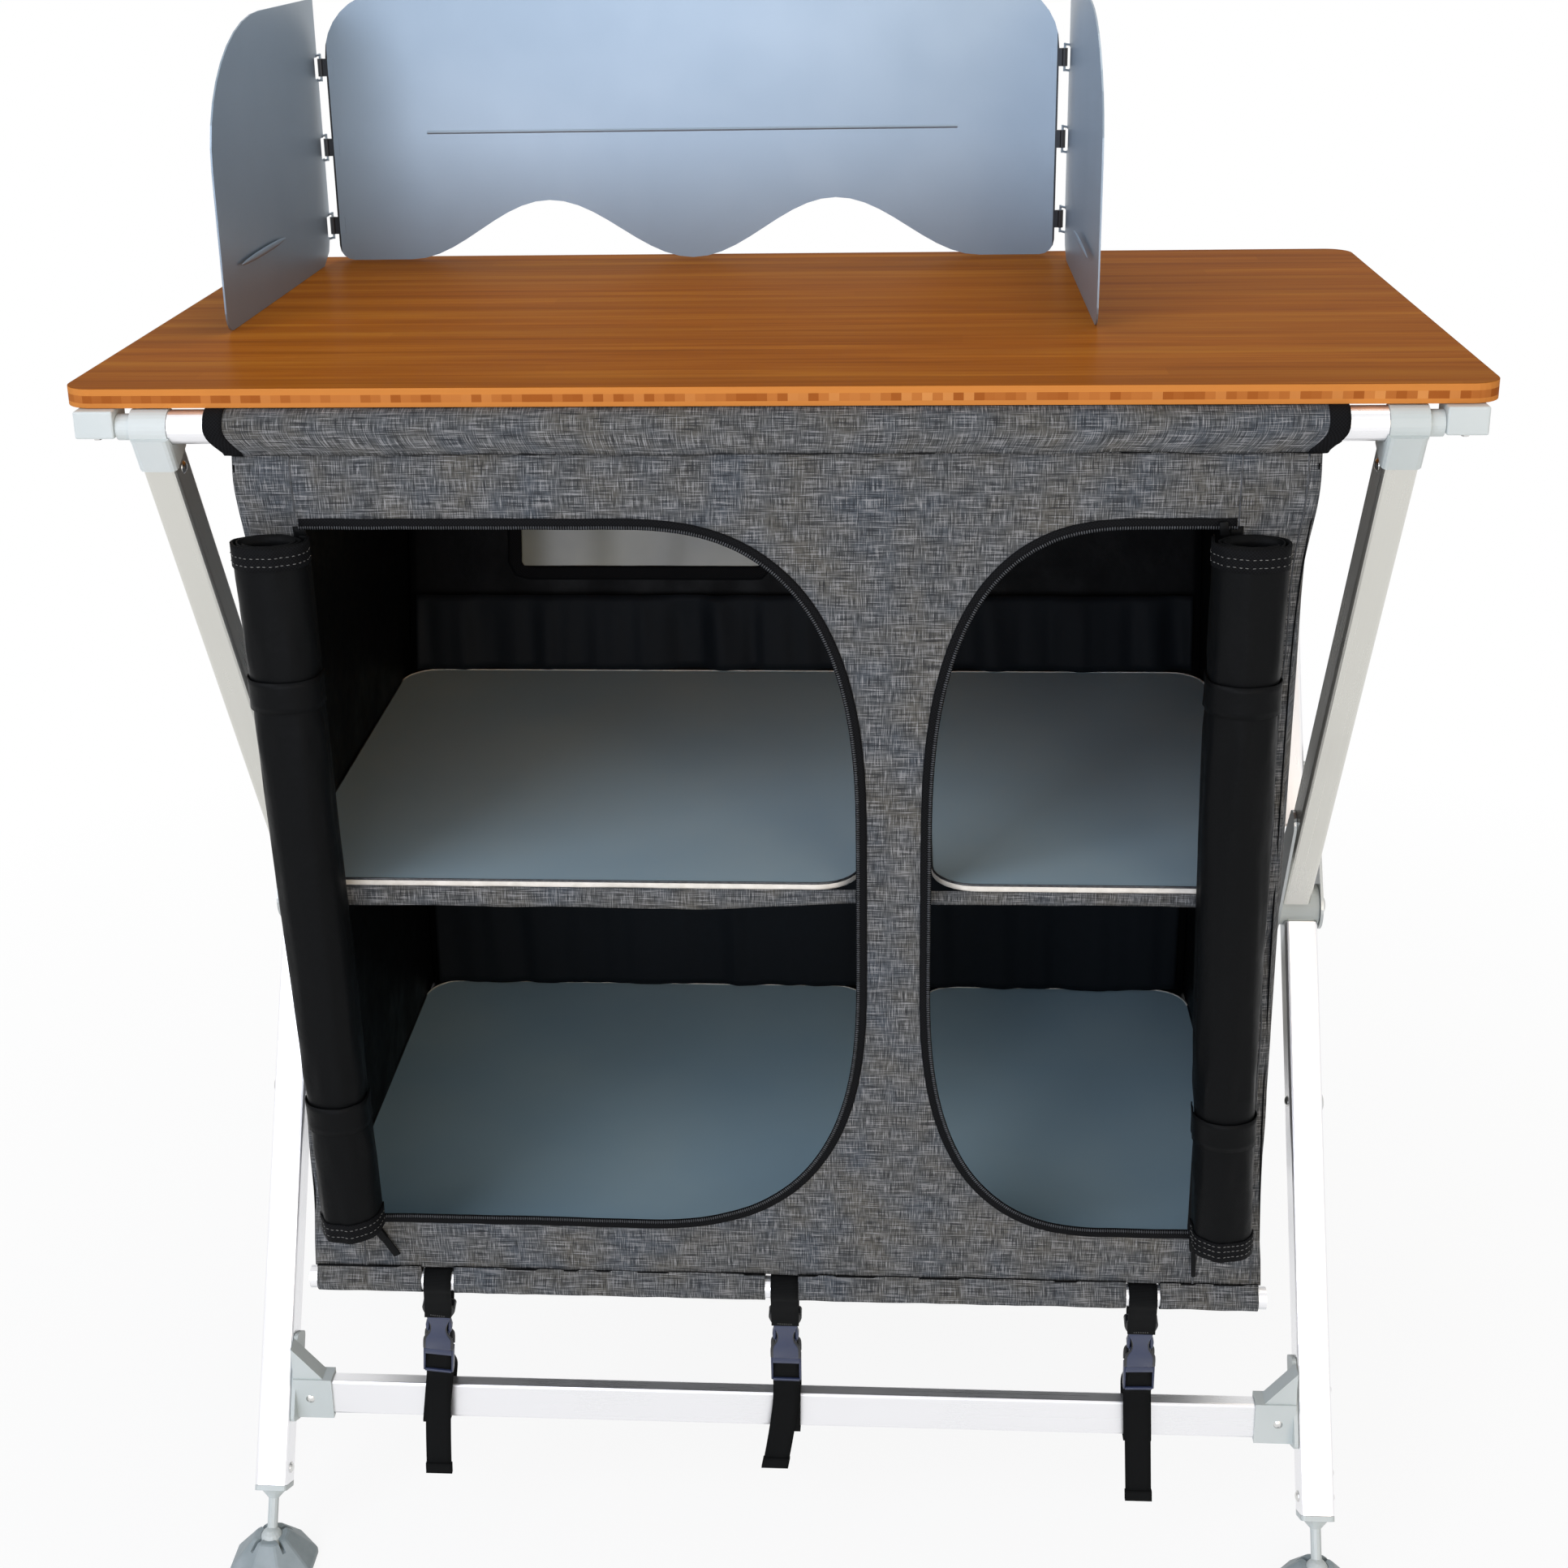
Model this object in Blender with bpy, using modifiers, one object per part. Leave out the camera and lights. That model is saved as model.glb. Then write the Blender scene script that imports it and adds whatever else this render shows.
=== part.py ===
"""Camp kitchen unit: bamboo worktop, crossed folding legs, hanging fabric cupboard and windshield.

Units are metres and +Z is up. Sizes are laid out from the hub axis, which runs along X at Y = 0,
and the whole unit is then shifted along Y so that its box is centred on the origin at floor level.
"""
import math

import bmesh
import bpy
from mathutils import Matrix, Vector

# Worktop
TOP_WIDTH = 0.900
TOP_DEPTH = 0.500
TOP_THICK = 0.0125
TOP_HEIGHT = 0.930
TOP_CORNER = 0.020
TOP_EDGE = 0.0025

# Clearances
FIT = 0.0003
RUN = 0.0006

# Crossed frames
HUB_HEIGHT = 0.4571
TUBE_REACH = 0.2475
TUBE_GAP = 0.0015
TUBE_RADIUS = 0.011
TUBE_WALL = 0.0012
TUBE_HALF = 0.380
UPPER_X = 0.3805
UPPER_WIDE = 0.022
UPPER_DEEP = 0.026
FRONT_LOWER_X = 0.3845
LOWER_WIDE = 0.025
LEG_WALL = 0.0015
LEG_ROUND = 0.003
LEG_END_HEIGHT = 0.060

# Hub
HUB_BLOCK_RADIUS = 0.0160
HUB_CHEEK = 0.0014
HUB_PLATE_THICK = 0.0022
HUB_PLATE_RADIUS = 0.0190
HUB_ARM_RADIUS = 0.0100
HUB_ARM = 0.105
HUB_PIN_RADIUS = 0.004
FRONT_UPPER_START = 0.0180
REAR_UPPER_START = 0.062
FRONT_LOWER_START = 0.0140
REAR_LOWER_START = 0.026
PLUG_LENGTH = 0.045

# Corner pieces between the legs and the top tubes
CORNER_WIDE = 0.0240
CORNER_WALL = 0.0008
CORNER_SKIRT = 0.026
SKIRT_WALL = 0.0016
BEARING_PIN_RADIUS = 0.0035

# Worktop bearings
COLLAR_RADIUS = 0.0085
COLLAR_WIDE = 0.0094
END_BLOCK_WIDE = 0.0254
END_BLOCK_DEEP = 0.026
END_BLOCK_DROP = 0.0182
CATCH_WIDE = 0.0200
CATCH_WALL = 0.0032
CATCH_LIP = 0.008

# Lower rails and their brackets
RAIL_HEIGHT = 0.119
RAIL_TALL = 0.030
RAIL_DEEP = 0.012
RAIL_WALL = 0.0012
SLEEVE_WALL = 0.002
SLEEVE_LENGTH = 0.0285
BRACKET_PLATE = 0.003
BRACKET_TALL = 0.066
GUSSET_SIDE = 0.024

# Feet
BALL_HEIGHT = 0.024
BALL_RADIUS = 0.009
NECK_RADIUS = 0.004
PAD_RADIUS = 0.034
PAD_EDGE = 0.005
PAD_TOP = 0.028
PAD_CROWN = 0.0135
PAD_SLOT = 0.003

# Windshield
SHIELD_LEFT = -0.388
SHIELD_RIGHT = 0.214
SHIELD_HEIGHT = 0.215
SHIELD_Y = 0.233
SHIELD_THICK = 0.0012
SHIELD_CORNER = 0.050
SHIELD_FOOT_CORNER = 0.012
ARCH_HEIGHT = 0.048
ARCH_PITCH = 0.236
WING_LENGTH = 0.310
WING_SET_LEFT = 0.0024
WING_SET_RIGHT = 0.0040
RIB_RADIUS = 0.0014
WING_CURVE_LENGTH = 0.150
WING_CURVE_HEIGHT = 0.098
CLIP_PITCH = 0.064
CLIP_FIRST = 0.029
CLIP_TALL = 0.014
CLIP_WIDE = 0.0045
CLIP_RADIUS = 0.0024
HINGE_WIRE = 0.0010

# Fabric cupboard
PANEL_HALF = 0.341
CLOTH = 0.0015
SLEEVE_CLOTH = 0.0008
SLEEVE_HALF = 0.356
SEAM_DROP = 0.0175
FRONT_BASE_Y = -0.2440
BACK_Y = 0.190
BACK_KNEE_HEIGHT = 0.580
FLOOR_HEIGHT = 0.275
SIDE_DROP = 0.017
HEM_Y = -0.2400
HEM_HEIGHT = 0.264
HEM_RADIUS = 0.008
HEM_WALL = 0.001
HEM_HALF = 0.345
HEM_NOTCH = 0.026
STRAP_PITCH = 0.258

# Door openings in the front panel
DOOR_TOP = 0.842
DOOR_BASE = 0.320
DOOR_ROUND_TOP = 0.225
DOOR_ROUND_BASE = 0.205
DOOR_POWER = 2.7
LEFT_DOOR = (-0.292, -0.100, 0.0565)
RIGHT_DOOR = (0.2846, 0.235, 0.1025)

# Shelves
SHELF_HEIGHT = 0.584
SHELF_THICK = 0.005
SHELF_FRONT = -0.236
SHELF_BACK = 0.1815
SHELF_CORNER = 0.028
BASE_THICK = 0.004

# Rolled doors
ROLL_TOP = 0.828
ROLL_BASE = 0.305
ROLL_TOP_X = 0.3165
ROLL_BASE_X = 0.3085
ROLL_TOP_WIDE = 0.0255
ROLL_BASE_WIDE = 0.0215
ROLL_DEEP = 0.0185
TIE_HEIGHTS = (0.728, 0.408)
TIE_PINCH = 0.88

# Straps and buckles
WEB_WIDE = 0.020
WEB_THICK = 0.0014
BUCKLE_START = 0.036
BUCKLE_LENGTH = 0.038
BUCKLE_WIDE = 0.0255
BUCKLE_THICK = 0.0095
LADDER_LENGTH = 0.025
PRONG_LENGTH = 0.0150
LOOP_SLACK = 0.0062
TAIL_END = 0.068

# Worked out from the sizes above
UNDERSIDE = TOP_HEIGHT - TOP_THICK
TUBE_DROP = TUBE_RADIUS + TUBE_GAP
TUBE_HEIGHT = UNDERSIDE - TUBE_DROP
CORNER_RADIUS = TUBE_RADIUS + CORNER_WALL
REAR_LOWER_X = UPPER_X - HUB_PLATE_THICK - 2 * FIT - LOWER_WIDE
HUB_BLOCK_WIDE = FRONT_LOWER_X - UPPER_X + LOWER_WIDE + HUB_CHEEK
PANEL_TOP = TUBE_HEIGHT - SEAM_DROP
SIDE_TOP = TUBE_HEIGHT - SIDE_DROP
LEG_SLOPE = TUBE_REACH / (TUBE_HEIGHT - HUB_HEIGHT)
LEAN = math.atan(LEG_SLOPE)
UPPER_LENGTH = math.hypot(TUBE_REACH, TUBE_HEIGHT - HUB_HEIGHT)
LOWER_LENGTH = (HUB_HEIGHT - LEG_END_HEIGHT) / math.cos(LEAN)
FRONT_TOP_Y = -TUBE_REACH - TUBE_RADIUS - SLEEVE_CLOTH - 3 * FIT
ROLL_SHARE = (PANEL_TOP - ROLL_TOP) / (PANEL_TOP - HEM_HEIGHT)
ROLL_Y = FRONT_TOP_Y + ROLL_SHARE * (FRONT_BASE_Y - FRONT_TOP_Y) - FIT - ROLL_DEEP
FOOT_Y = (HUB_HEIGHT - BALL_HEIGHT) * LEG_SLOPE + PAD_RADIUS * math.cos(math.radians(22.5))
FRONT_REACH = ROLL_DEEP - ROLL_Y
BACK_REACH = max(FOOT_Y, TUBE_REACH + TUBE_RADIUS + CATCH_WALL + FIT)
HUB_Y = (FRONT_REACH - BACK_REACH) / 2

COLLECTION = bpy.data.collections.new("camp_kitchen_unit")
MATERIALS = {}
BODIES = {}


def start():
    """Empty the scene and link the collection that holds the parts."""
    for item in list(bpy.data.objects):
        bpy.data.objects.remove(item, do_unlink=True)
    bpy.context.scene.collection.children.link(COLLECTION)


def material(name, colour, roughness, metallic=0.0):
    """A plain Principled material for one kind of part."""
    if name not in MATERIALS:
        made = bpy.data.materials.new(name)
        made.use_nodes = True
        shader = made.node_tree.nodes["Principled BSDF"]
        shader.inputs["Base Color"].default_value = (*colour, 1.0)
        shader.inputs["Roughness"].default_value = roughness
        shader.inputs["Metallic"].default_value = metallic
        MATERIALS[name] = made
    return MATERIALS[name]


def bamboo():
    return material("bamboo", (0.46, 0.20, 0.07), 0.4)


def anodised():
    return material("anodised_tube", (0.72, 0.72, 0.68), 0.35, 0.9)


def pale_plastic():
    return material("pale_plastic", (0.56, 0.61, 0.58), 0.5)


def sheet_metal():
    return material("sheet_metal", (0.42, 0.48, 0.58), 0.35, 0.8)


def steel():
    return material("steel", (0.60, 0.60, 0.60), 0.3, 1.0)


def grey_fabric():
    return material("grey_fabric", (0.15, 0.15, 0.155), 0.9)


def black_cloth():
    return material("black_cloth", (0.010, 0.011, 0.012), 0.55)


def board():
    return material("shelf_board", (0.12, 0.18, 0.23), 0.5)


def webbing():
    return material("webbing", (0.008, 0.009, 0.009), 0.8)


def buckle_plastic():
    return material("buckle_plastic", (0.045, 0.055, 0.085), 0.45)


def link(mesh, name):
    item = bpy.data.objects.new(name, mesh)
    COLLECTION.objects.link(item)
    return item


def drop(item):
    bpy.data.objects.remove(item, do_unlink=True)


def settled(item):
    """Replace an object by the mesh that its modifiers or its curve give, welded."""
    graph = bpy.context.evaluated_depsgraph_get()
    mesh = bpy.data.meshes.new_from_object(item.evaluated_get(graph), depsgraph=graph)
    mesh.transform(item.matrix_world)
    name = item.name
    drop(item)
    mesh.name = name
    shape = bmesh.new()
    shape.from_mesh(mesh)
    bmesh.ops.remove_doubles(shape, verts=shape.verts, dist=0.000005)
    shape.to_mesh(mesh)
    shape.free()
    return link(mesh, name)


def basis(across, up, origin):
    """A placing matrix whose local X and Y run along the two given directions."""
    x_axis = Vector(across).normalized()
    y_axis = Vector(up).normalized()
    z_axis = x_axis.cross(y_axis)
    turned = Matrix((x_axis, y_axis, z_axis)).transposed().to_4x4()
    return Matrix.Translation(Vector(origin)) @ turned


def facing_x(x=0.0, y=0.0, z=0.0):
    """An outline drawn in Y and Z, with its thickness along X."""
    return basis((0, 1, 0), (0, 0, 1), (x, y, z))


def facing_y(y=0.0, x=0.0, z=0.0):
    """An outline drawn in X and Z, with its thickness along Y."""
    return basis((1, 0, 0), (0, 0, 1), (x, y, z))


def facing_z(z=0.0, x=0.0, y=0.0):
    """An outline drawn in X and Y, with its thickness along Z."""
    return Matrix.Translation((x, y, z))


def prism(name, loops, thick, place):
    """A flat outline, with any holes, given a thickness about its own plane."""
    curve = bpy.data.curves.new(name, "CURVE")
    curve.dimensions = "2D"
    curve.fill_mode = "BOTH"
    curve.extrude = thick / 2
    for loop in loops:
        spline = curve.splines.new("POLY")
        spline.points.add(len(loop) - 1)
        for point, (u, v) in zip(spline.points, loop):
            point.co = (u, v, 0, 1)
        spline.use_cyclic_u = True
    item = link(curve, name)
    item.matrix_world = place
    bpy.context.view_layer.update()
    return settled(item)


def cuboid(name, size, centre):
    shape = bmesh.new()
    bmesh.ops.create_cube(shape, size=1.0)
    bmesh.ops.scale(shape, vec=size, verts=shape.verts)
    bmesh.ops.translate(shape, vec=centre, verts=shape.verts)
    mesh = bpy.data.meshes.new(name)
    shape.to_mesh(mesh)
    shape.free()
    return link(mesh, name)


def rod(name, radius, start, end, sides=24, end_radius=None):
    """A round bar or a cone between two points."""
    run = Vector(end) - Vector(start)
    shape = bmesh.new()
    bmesh.ops.create_cone(
        shape, cap_ends=True, segments=sides, radius1=radius,
        radius2=radius if end_radius is None else end_radius, depth=run.length,
    )
    turn = Vector((0, 0, 1)).rotation_difference(run).to_matrix().to_4x4()
    middle = (Vector(start) + Vector(end)) / 2
    bmesh.ops.transform(shape, matrix=Matrix.Translation(middle) @ turn, verts=shape.verts)
    mesh = bpy.data.meshes.new(name)
    shape.to_mesh(mesh)
    shape.free()
    return link(mesh, name)


def ball(name, radius, centre, sides=16):
    shape = bmesh.new()
    bmesh.ops.create_uvsphere(shape, u_segments=sides, v_segments=sides // 2, radius=radius)
    bmesh.ops.translate(shape, vec=centre, verts=shape.verts)
    mesh = bpy.data.meshes.new(name)
    shape.to_mesh(mesh)
    shape.free()
    return link(mesh, name)


def combine(item, others, operation):
    """Join others to a piece, or cut them out of it, and leave one plain mesh."""
    for other in others:
        change = item.modifiers.new("combine", "BOOLEAN")
        change.operation = operation
        change.solver = "EXACT"
        change.object = other
    bpy.context.view_layer.update()
    result = settled(item)
    for other in others:
        drop(other)
    return result


def joined(item, *others):
    return combine(item, others, "UNION")


def cut(item, *others):
    return combine(item, others, "DIFFERENCE")


def softened(item, width, segments=2, angle=40):
    """Round the sharp edges of a piece."""
    change = item.modifiers.new("edges", "BEVEL")
    change.width = width
    change.segments = segments
    change.limit_method = "ANGLE"
    change.angle_limit = math.radians(angle)
    bpy.context.view_layer.update()
    return settled(item)


def place(item, body, look):
    """Give a finished piece its material, its shading and the body that carries it."""
    item.data.materials.clear()
    item.data.materials.append(look)
    item.data.shade_smooth()
    item.data.set_sharp_from_angle(angle=math.radians(35))
    pivot = BODIES[body]
    item.parent = pivot
    item.matrix_parent_inverse = Matrix.Translation(pivot["pivot"]).inverted()
    return item


def reflected(item, name, across, body, look):
    """A mirror image of a finished piece across the X or the Y plane, as its own object."""
    mesh = item.data.copy()
    signs = {"X": (-1, 1, 1), "Y": (1, -1, 1)}[across]
    mesh.transform(Matrix.Diagonal((*signs, 1)))
    mesh.flip_normals()
    return place(link(mesh, name), body, look)


def arc(cx, cy, radius, start, end, steps):
    """Points along an arc, with angles in degrees."""
    points = []
    for step in range(steps + 1):
        turn = math.radians(start + (end - start) * step / steps)
        points.append((cx + radius * math.cos(turn), cy + radius * math.sin(turn)))
    return points


def ring(radius, sides=32, cx=0.0, cy=0.0):
    return arc(cx, cy, radius, 0, 360 - 360 / sides, sides - 1)


def rounded(width, height, radius, steps=3, cx=0.0, cy=0.0):
    """A rounded rectangle about a centre."""
    far_x = width / 2 - radius
    far_y = height / 2 - radius
    points = arc(cx + far_x, cy + far_y, radius, 0, 90, steps)
    points += arc(cx - far_x, cy + far_y, radius, 90, 180, steps)
    points += arc(cx - far_x, cy - far_y, radius, 180, 270, steps)
    points += arc(cx + far_x, cy - far_y, radius, 270, 360, steps)
    return points


def ribbon(path, thick):
    """The outline of a band of even thickness laid along a path."""
    left = []
    right = []
    for index, (u, v) in enumerate(path):
        before = Vector(path[max(index - 1, 0)])
        after = Vector(path[min(index + 1, len(path) - 1)])
        run = (after - before).normalized()
        normal = Vector((-run.y, run.x)) * (thick / 2)
        left.append((u + normal.x, v + normal.y))
        right.append((u - normal.x, v - normal.y))
    return left + right[::-1]


def leg_point(front, upper, along, x=0.0):
    """A point on a leg's centre line, at a distance from the hub axis."""
    side = -1 if front else 1
    rise = 1 if upper else -1
    return Vector((x, side * along * math.sin(LEAN), HUB_HEIGHT + rise * along * math.cos(LEAN)))


def leg_direction(front, upper):
    return (leg_point(front, upper, 1.0) - leg_point(front, upper, 0.0)).normalized()


def leg_matrix(front, upper, along, x):
    """A placing matrix with its local Z along a leg and its local X across the unit."""
    run = leg_direction(front, upper)
    across = Vector((1, 0, 0))
    return basis(across, run.cross(across), leg_point(front, upper, along, x))


def leg_bar(name, front, upper, x, wide, deep, start, end, radius=LEG_ROUND):
    """A solid bar of rounded section along a leg."""
    middle = leg_matrix(front, upper, (start + end) / 2, x)
    return prism(name, [rounded(wide, deep, radius)], end - start, middle)


def leg_tube(name, front, upper, x_inner, wide, deep, start, end):
    """An open rectangular tube along a leg."""
    loops = [
        rounded(wide, deep, LEG_ROUND),
        rounded(wide - 2 * LEG_WALL, deep - 2 * LEG_WALL, LEG_ROUND - LEG_WALL),
    ]
    middle = leg_matrix(front, upper, (start + end) / 2, x_inner + wide / 2)
    return prism(name, loops, end - start, middle)


def make_bodies():
    """Empties on the joint axes: each moving piece hangs from one of them."""
    root = bpy.data.objects.new("unit_origin", None)
    COLLECTION.objects.link(root)
    root.location = (0, HUB_Y, 0)
    root["pivot"] = (0.0, 0.0, 0.0)
    BODIES["frame_a"] = root
    ball_along = (HUB_HEIGHT - BALL_HEIGHT) / math.cos(LEAN)
    front_x = FRONT_LOWER_X + LOWER_WIDE / 2
    rear_x = REAR_LOWER_X + LOWER_WIDE / 2
    pivots = {
        "frame_b": ("frame_a", (0, 0, HUB_HEIGHT)),
        "worktop": ("frame_b", (0, -TUBE_REACH, TUBE_HEIGHT)),
        "windshield": ("worktop", (SHIELD_LEFT, SHIELD_Y, TOP_HEIGHT)),
        "wing_left": ("windshield", (SHIELD_LEFT, SHIELD_Y, TOP_HEIGHT)),
        "wing_right": ("windshield", (SHIELD_RIGHT, SHIELD_Y, TOP_HEIGHT)),
        "foot_front_right": ("frame_a", leg_point(True, False, ball_along, front_x)),
        "foot_front_left": ("frame_a", leg_point(True, False, ball_along, -front_x)),
        "foot_rear_right": ("frame_b", leg_point(False, False, ball_along, rear_x)),
        "foot_rear_left": ("frame_b", leg_point(False, False, ball_along, -rear_x)),
    }
    for side, x in strap_places():
        pivots[f"tongue_{side}"] = ("frame_a", (x, HEM_Y, HEM_HEIGHT))
    for name, (parent, pivot) in pivots.items():
        holder = bpy.data.objects.new(f"axis_{name}", None)
        COLLECTION.objects.link(holder)
        holder["pivot"] = tuple(pivot)
        holder.parent = BODIES[parent]
        holder.location = Vector(pivot) - Vector(BODIES[parent]["pivot"])
        BODIES[name] = holder


def strap_places():
    return (("left", -STRAP_PITCH), ("middle", 0.0), ("right", STRAP_PITCH))


def make_worktop():
    outline = rounded(TOP_WIDTH, TOP_DEPTH, TOP_CORNER, 8)
    slab = prism("worktop", [outline], TOP_THICK, facing_z(TOP_HEIGHT - TOP_THICK / 2))
    place(softened(slab, TOP_EDGE), "worktop", bamboo())


def make_end_blocks():
    """Blocks under the front corners that turn on the corner pieces' pins."""
    inner = TUBE_HALF + CORNER_WIDE + COLLAR_WIDE + 3 * FIT
    middle = inner + END_BLOCK_WIDE / 2
    tall = END_BLOCK_DROP - FIT
    block = cuboid(
        "end_block_right", (END_BLOCK_WIDE, END_BLOCK_DEEP, tall),
        (middle, -TUBE_REACH + TUBE_RADIUS / 4, UNDERSIDE - FIT - tall / 2),
    )
    block = softened(block, 0.0012)
    bore = rod(
        "bore", BEARING_PIN_RADIUS + RUN, (inner - 0.002, -TUBE_REACH, TUBE_HEIGHT),
        (inner + 0.018 + FIT, -TUBE_REACH, TUBE_HEIGHT),
    )
    block = place(cut(block, bore), "worktop", pale_plastic())
    reflected(block, "end_block_left", "X", "worktop", pale_plastic())


def make_catches():
    """Catches under the rear corners: each sits over the rear tube with a lip behind it."""
    seat = TUBE_RADIUS + FIT
    top = TUBE_DROP - FIT
    outline = [(-0.012, top), (-0.012, seat + 0.0004)]
    outline += arc(0, 0, seat, 95, 0, 10)
    outline += [(seat, -CATCH_LIP), (seat + CATCH_WALL, -CATCH_LIP), (seat + CATCH_WALL, top)]
    middle = UPPER_X - SKIRT_WALL - FIT - CATCH_WIDE / 2
    clip = prism("rear_catch_right", [outline], CATCH_WIDE, facing_x(middle, TUBE_REACH, TUBE_HEIGHT))
    clip = place(clip, "worktop", pale_plastic())
    reflected(clip, "rear_catch_left", "X", "worktop", pale_plastic())


def make_collars():
    """Spacer bushes on the bearing pins, between the corner pieces and the end blocks."""
    middle = TUBE_HALF + CORNER_WIDE + 2 * FIT + COLLAR_WIDE / 2
    loops = [ring(COLLAR_RADIUS, 28), ring(BEARING_PIN_RADIUS + RUN, 20)]
    bush = prism("bearing_collar_right", loops, COLLAR_WIDE, facing_x(middle, -TUBE_REACH, TUBE_HEIGHT))
    bush = place(bush, "worktop", pale_plastic())
    reflected(bush, "bearing_collar_left", "X", "worktop", pale_plastic())


def make_top_tubes():
    loops = [ring(TUBE_RADIUS, 32), ring(TUBE_RADIUS - TUBE_WALL, 32)]
    for name, y, body in (("top_tube_front", -TUBE_REACH, "frame_b"), ("top_tube_rear", TUBE_REACH, "frame_a")):
        tube = prism(name, loops, 2 * TUBE_HALF, facing_x(0, y, TUBE_HEIGHT))
        place(tube, body, anodised())


def make_corner(name, front, body):
    """Corner moulding: barrel, plug in the top tube, skirt and plug on the leg, bearing pin."""
    y = -TUBE_REACH if front else TUBE_REACH
    inner = TUBE_HALF + FIT
    outer = inner + CORNER_WIDE
    barrel = rod(name, CORNER_RADIUS, (inner, y, TUBE_HEIGHT), (outer, y, TUBE_HEIGHT), 28)
    plug_radius = TUBE_RADIUS - TUBE_WALL - FIT
    tube_plug = rod("plug", plug_radius, (inner - 0.028, y, TUBE_HEIGHT), (inner + 0.004, y, TUBE_HEIGHT), 20)
    run = UPPER_LENGTH
    x = UPPER_X + UPPER_WIDE / 2
    wide = UPPER_WIDE + 2 * SKIRT_WALL
    deep = UPPER_DEEP + 2 * SKIRT_WALL
    skirt = leg_bar("skirt", front, True, x, wide, deep, run - CORNER_SKIRT, run, 0.004)
    above = cuboid("above", (0.1, 0.1, 0.04), (x, y, TUBE_HEIGHT + 0.8 * CORNER_RADIUS + 0.02))
    beside = rod("beside", TUBE_RADIUS + FIT, (inner - 0.02, y, TUBE_HEIGHT), (inner + FIT, y, TUBE_HEIGHT), 32)
    skirt = cut(skirt, above, beside)
    socket = leg_bar(
        "socket", front, True, x, UPPER_WIDE + 2 * FIT, UPPER_DEEP + 2 * FIT,
        run - CORNER_SKIRT - 0.01, run - CORNER_RADIUS - 0.001,
    )
    skirt = cut(skirt, socket)
    inside = 2 * (LEG_WALL + FIT)
    leg_plug = leg_bar(
        "leg_plug", front, True, x, UPPER_WIDE - inside, UPPER_DEEP - inside,
        run - CORNER_SKIRT - 0.022, run - CORNER_RADIUS + 0.004, LEG_ROUND - LEG_WALL,
    )
    parts = [tube_plug, skirt, leg_plug]
    if front:
        pin_end = outer + COLLAR_WIDE + 0.018
        parts.append(rod("pin", BEARING_PIN_RADIUS, (outer - 0.004, y, TUBE_HEIGHT), (pin_end, y, TUBE_HEIGHT), 20))
    return place(joined(barrel, *parts), body, pale_plastic())


def make_corners():
    front = make_corner("corner_front_right", True, "frame_b")
    reflected(front, "corner_front_left", "X", "frame_b", pale_plastic())
    rear = make_corner("corner_rear_right", False, "frame_a")
    reflected(rear, "corner_rear_left", "X", "frame_a", pale_plastic())


def make_legs():
    upper_end = UPPER_LENGTH - CORNER_RADIUS - 0.0013
    rows = (
        ("leg_front_upper", True, True, UPPER_X, UPPER_WIDE, UPPER_DEEP, FRONT_UPPER_START, upper_end, "frame_b"),
        ("leg_rear_upper", False, True, UPPER_X, UPPER_WIDE, UPPER_DEEP, REAR_UPPER_START, upper_end, "frame_a"),
        ("leg_front_lower", True, False, FRONT_LOWER_X, LOWER_WIDE, LOWER_WIDE, FRONT_LOWER_START,
         LOWER_LENGTH, "frame_a"),
        ("leg_rear_lower", False, False, REAR_LOWER_X, LOWER_WIDE, LOWER_WIDE, REAR_LOWER_START,
         LOWER_LENGTH, "frame_b"),
    )
    for name, front, upper, x, wide, deep, begin, end, body in rows:
        tube = leg_tube(f"{name}_right", front, upper, x, wide, deep, begin, end)
        tube = place(tube, body, anodised())
        reflected(tube, f"{name}_left", "X", body, anodised())


def hub_range():
    """Inner and outer X of the hub block."""
    inner = UPPER_X
    return inner, inner + HUB_BLOCK_WIDE


def make_hub_blocks():
    """Round-topped block that the front lower leg is plugged on."""
    inner, outer = hub_range()
    centre = (0.0, HUB_HEIGHT)
    block = rod(
        "hub_block_right", HUB_BLOCK_RADIUS, (inner, *centre), (outer, *centre), 40,
    )
    x = FRONT_LOWER_X + LOWER_WIDE / 2
    seat = leg_bar(
        "seat", True, False, x, LOWER_WIDE + 2 * FIT, LOWER_WIDE + 2 * FIT,
        FRONT_LOWER_START - FIT, FRONT_LOWER_START + 0.04,
    )
    block = cut(block, seat)
    inside = 2 * (LEG_WALL + FIT)
    plug = leg_bar(
        "plug", True, False, x, LOWER_WIDE - inside, LOWER_WIDE - inside,
        FRONT_LOWER_START - 0.006, FRONT_LOWER_START + PLUG_LENGTH, LEG_ROUND - LEG_WALL,
    )
    block = joined(block, plug)
    bore = rod(
        "bore", HUB_PIN_RADIUS + FIT, (inner - 0.01, *centre), (outer + 0.01, *centre), 20,
    )
    block = place(cut(block, bore), "frame_a", pale_plastic())
    reflected(block, "hub_block_left", "X", "frame_a", pale_plastic())


def arm_outline(near, far, length):
    """Outline of a tapering arm from the hub centre along +V: two circles and their tangents."""
    slope = math.degrees(math.asin((near - far) / length))
    points = arc(0, 0, near, 180 - slope, 360 + slope, 18)
    points += arc(0, length, far, slope, 180 - slope, 10)
    return points


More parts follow.
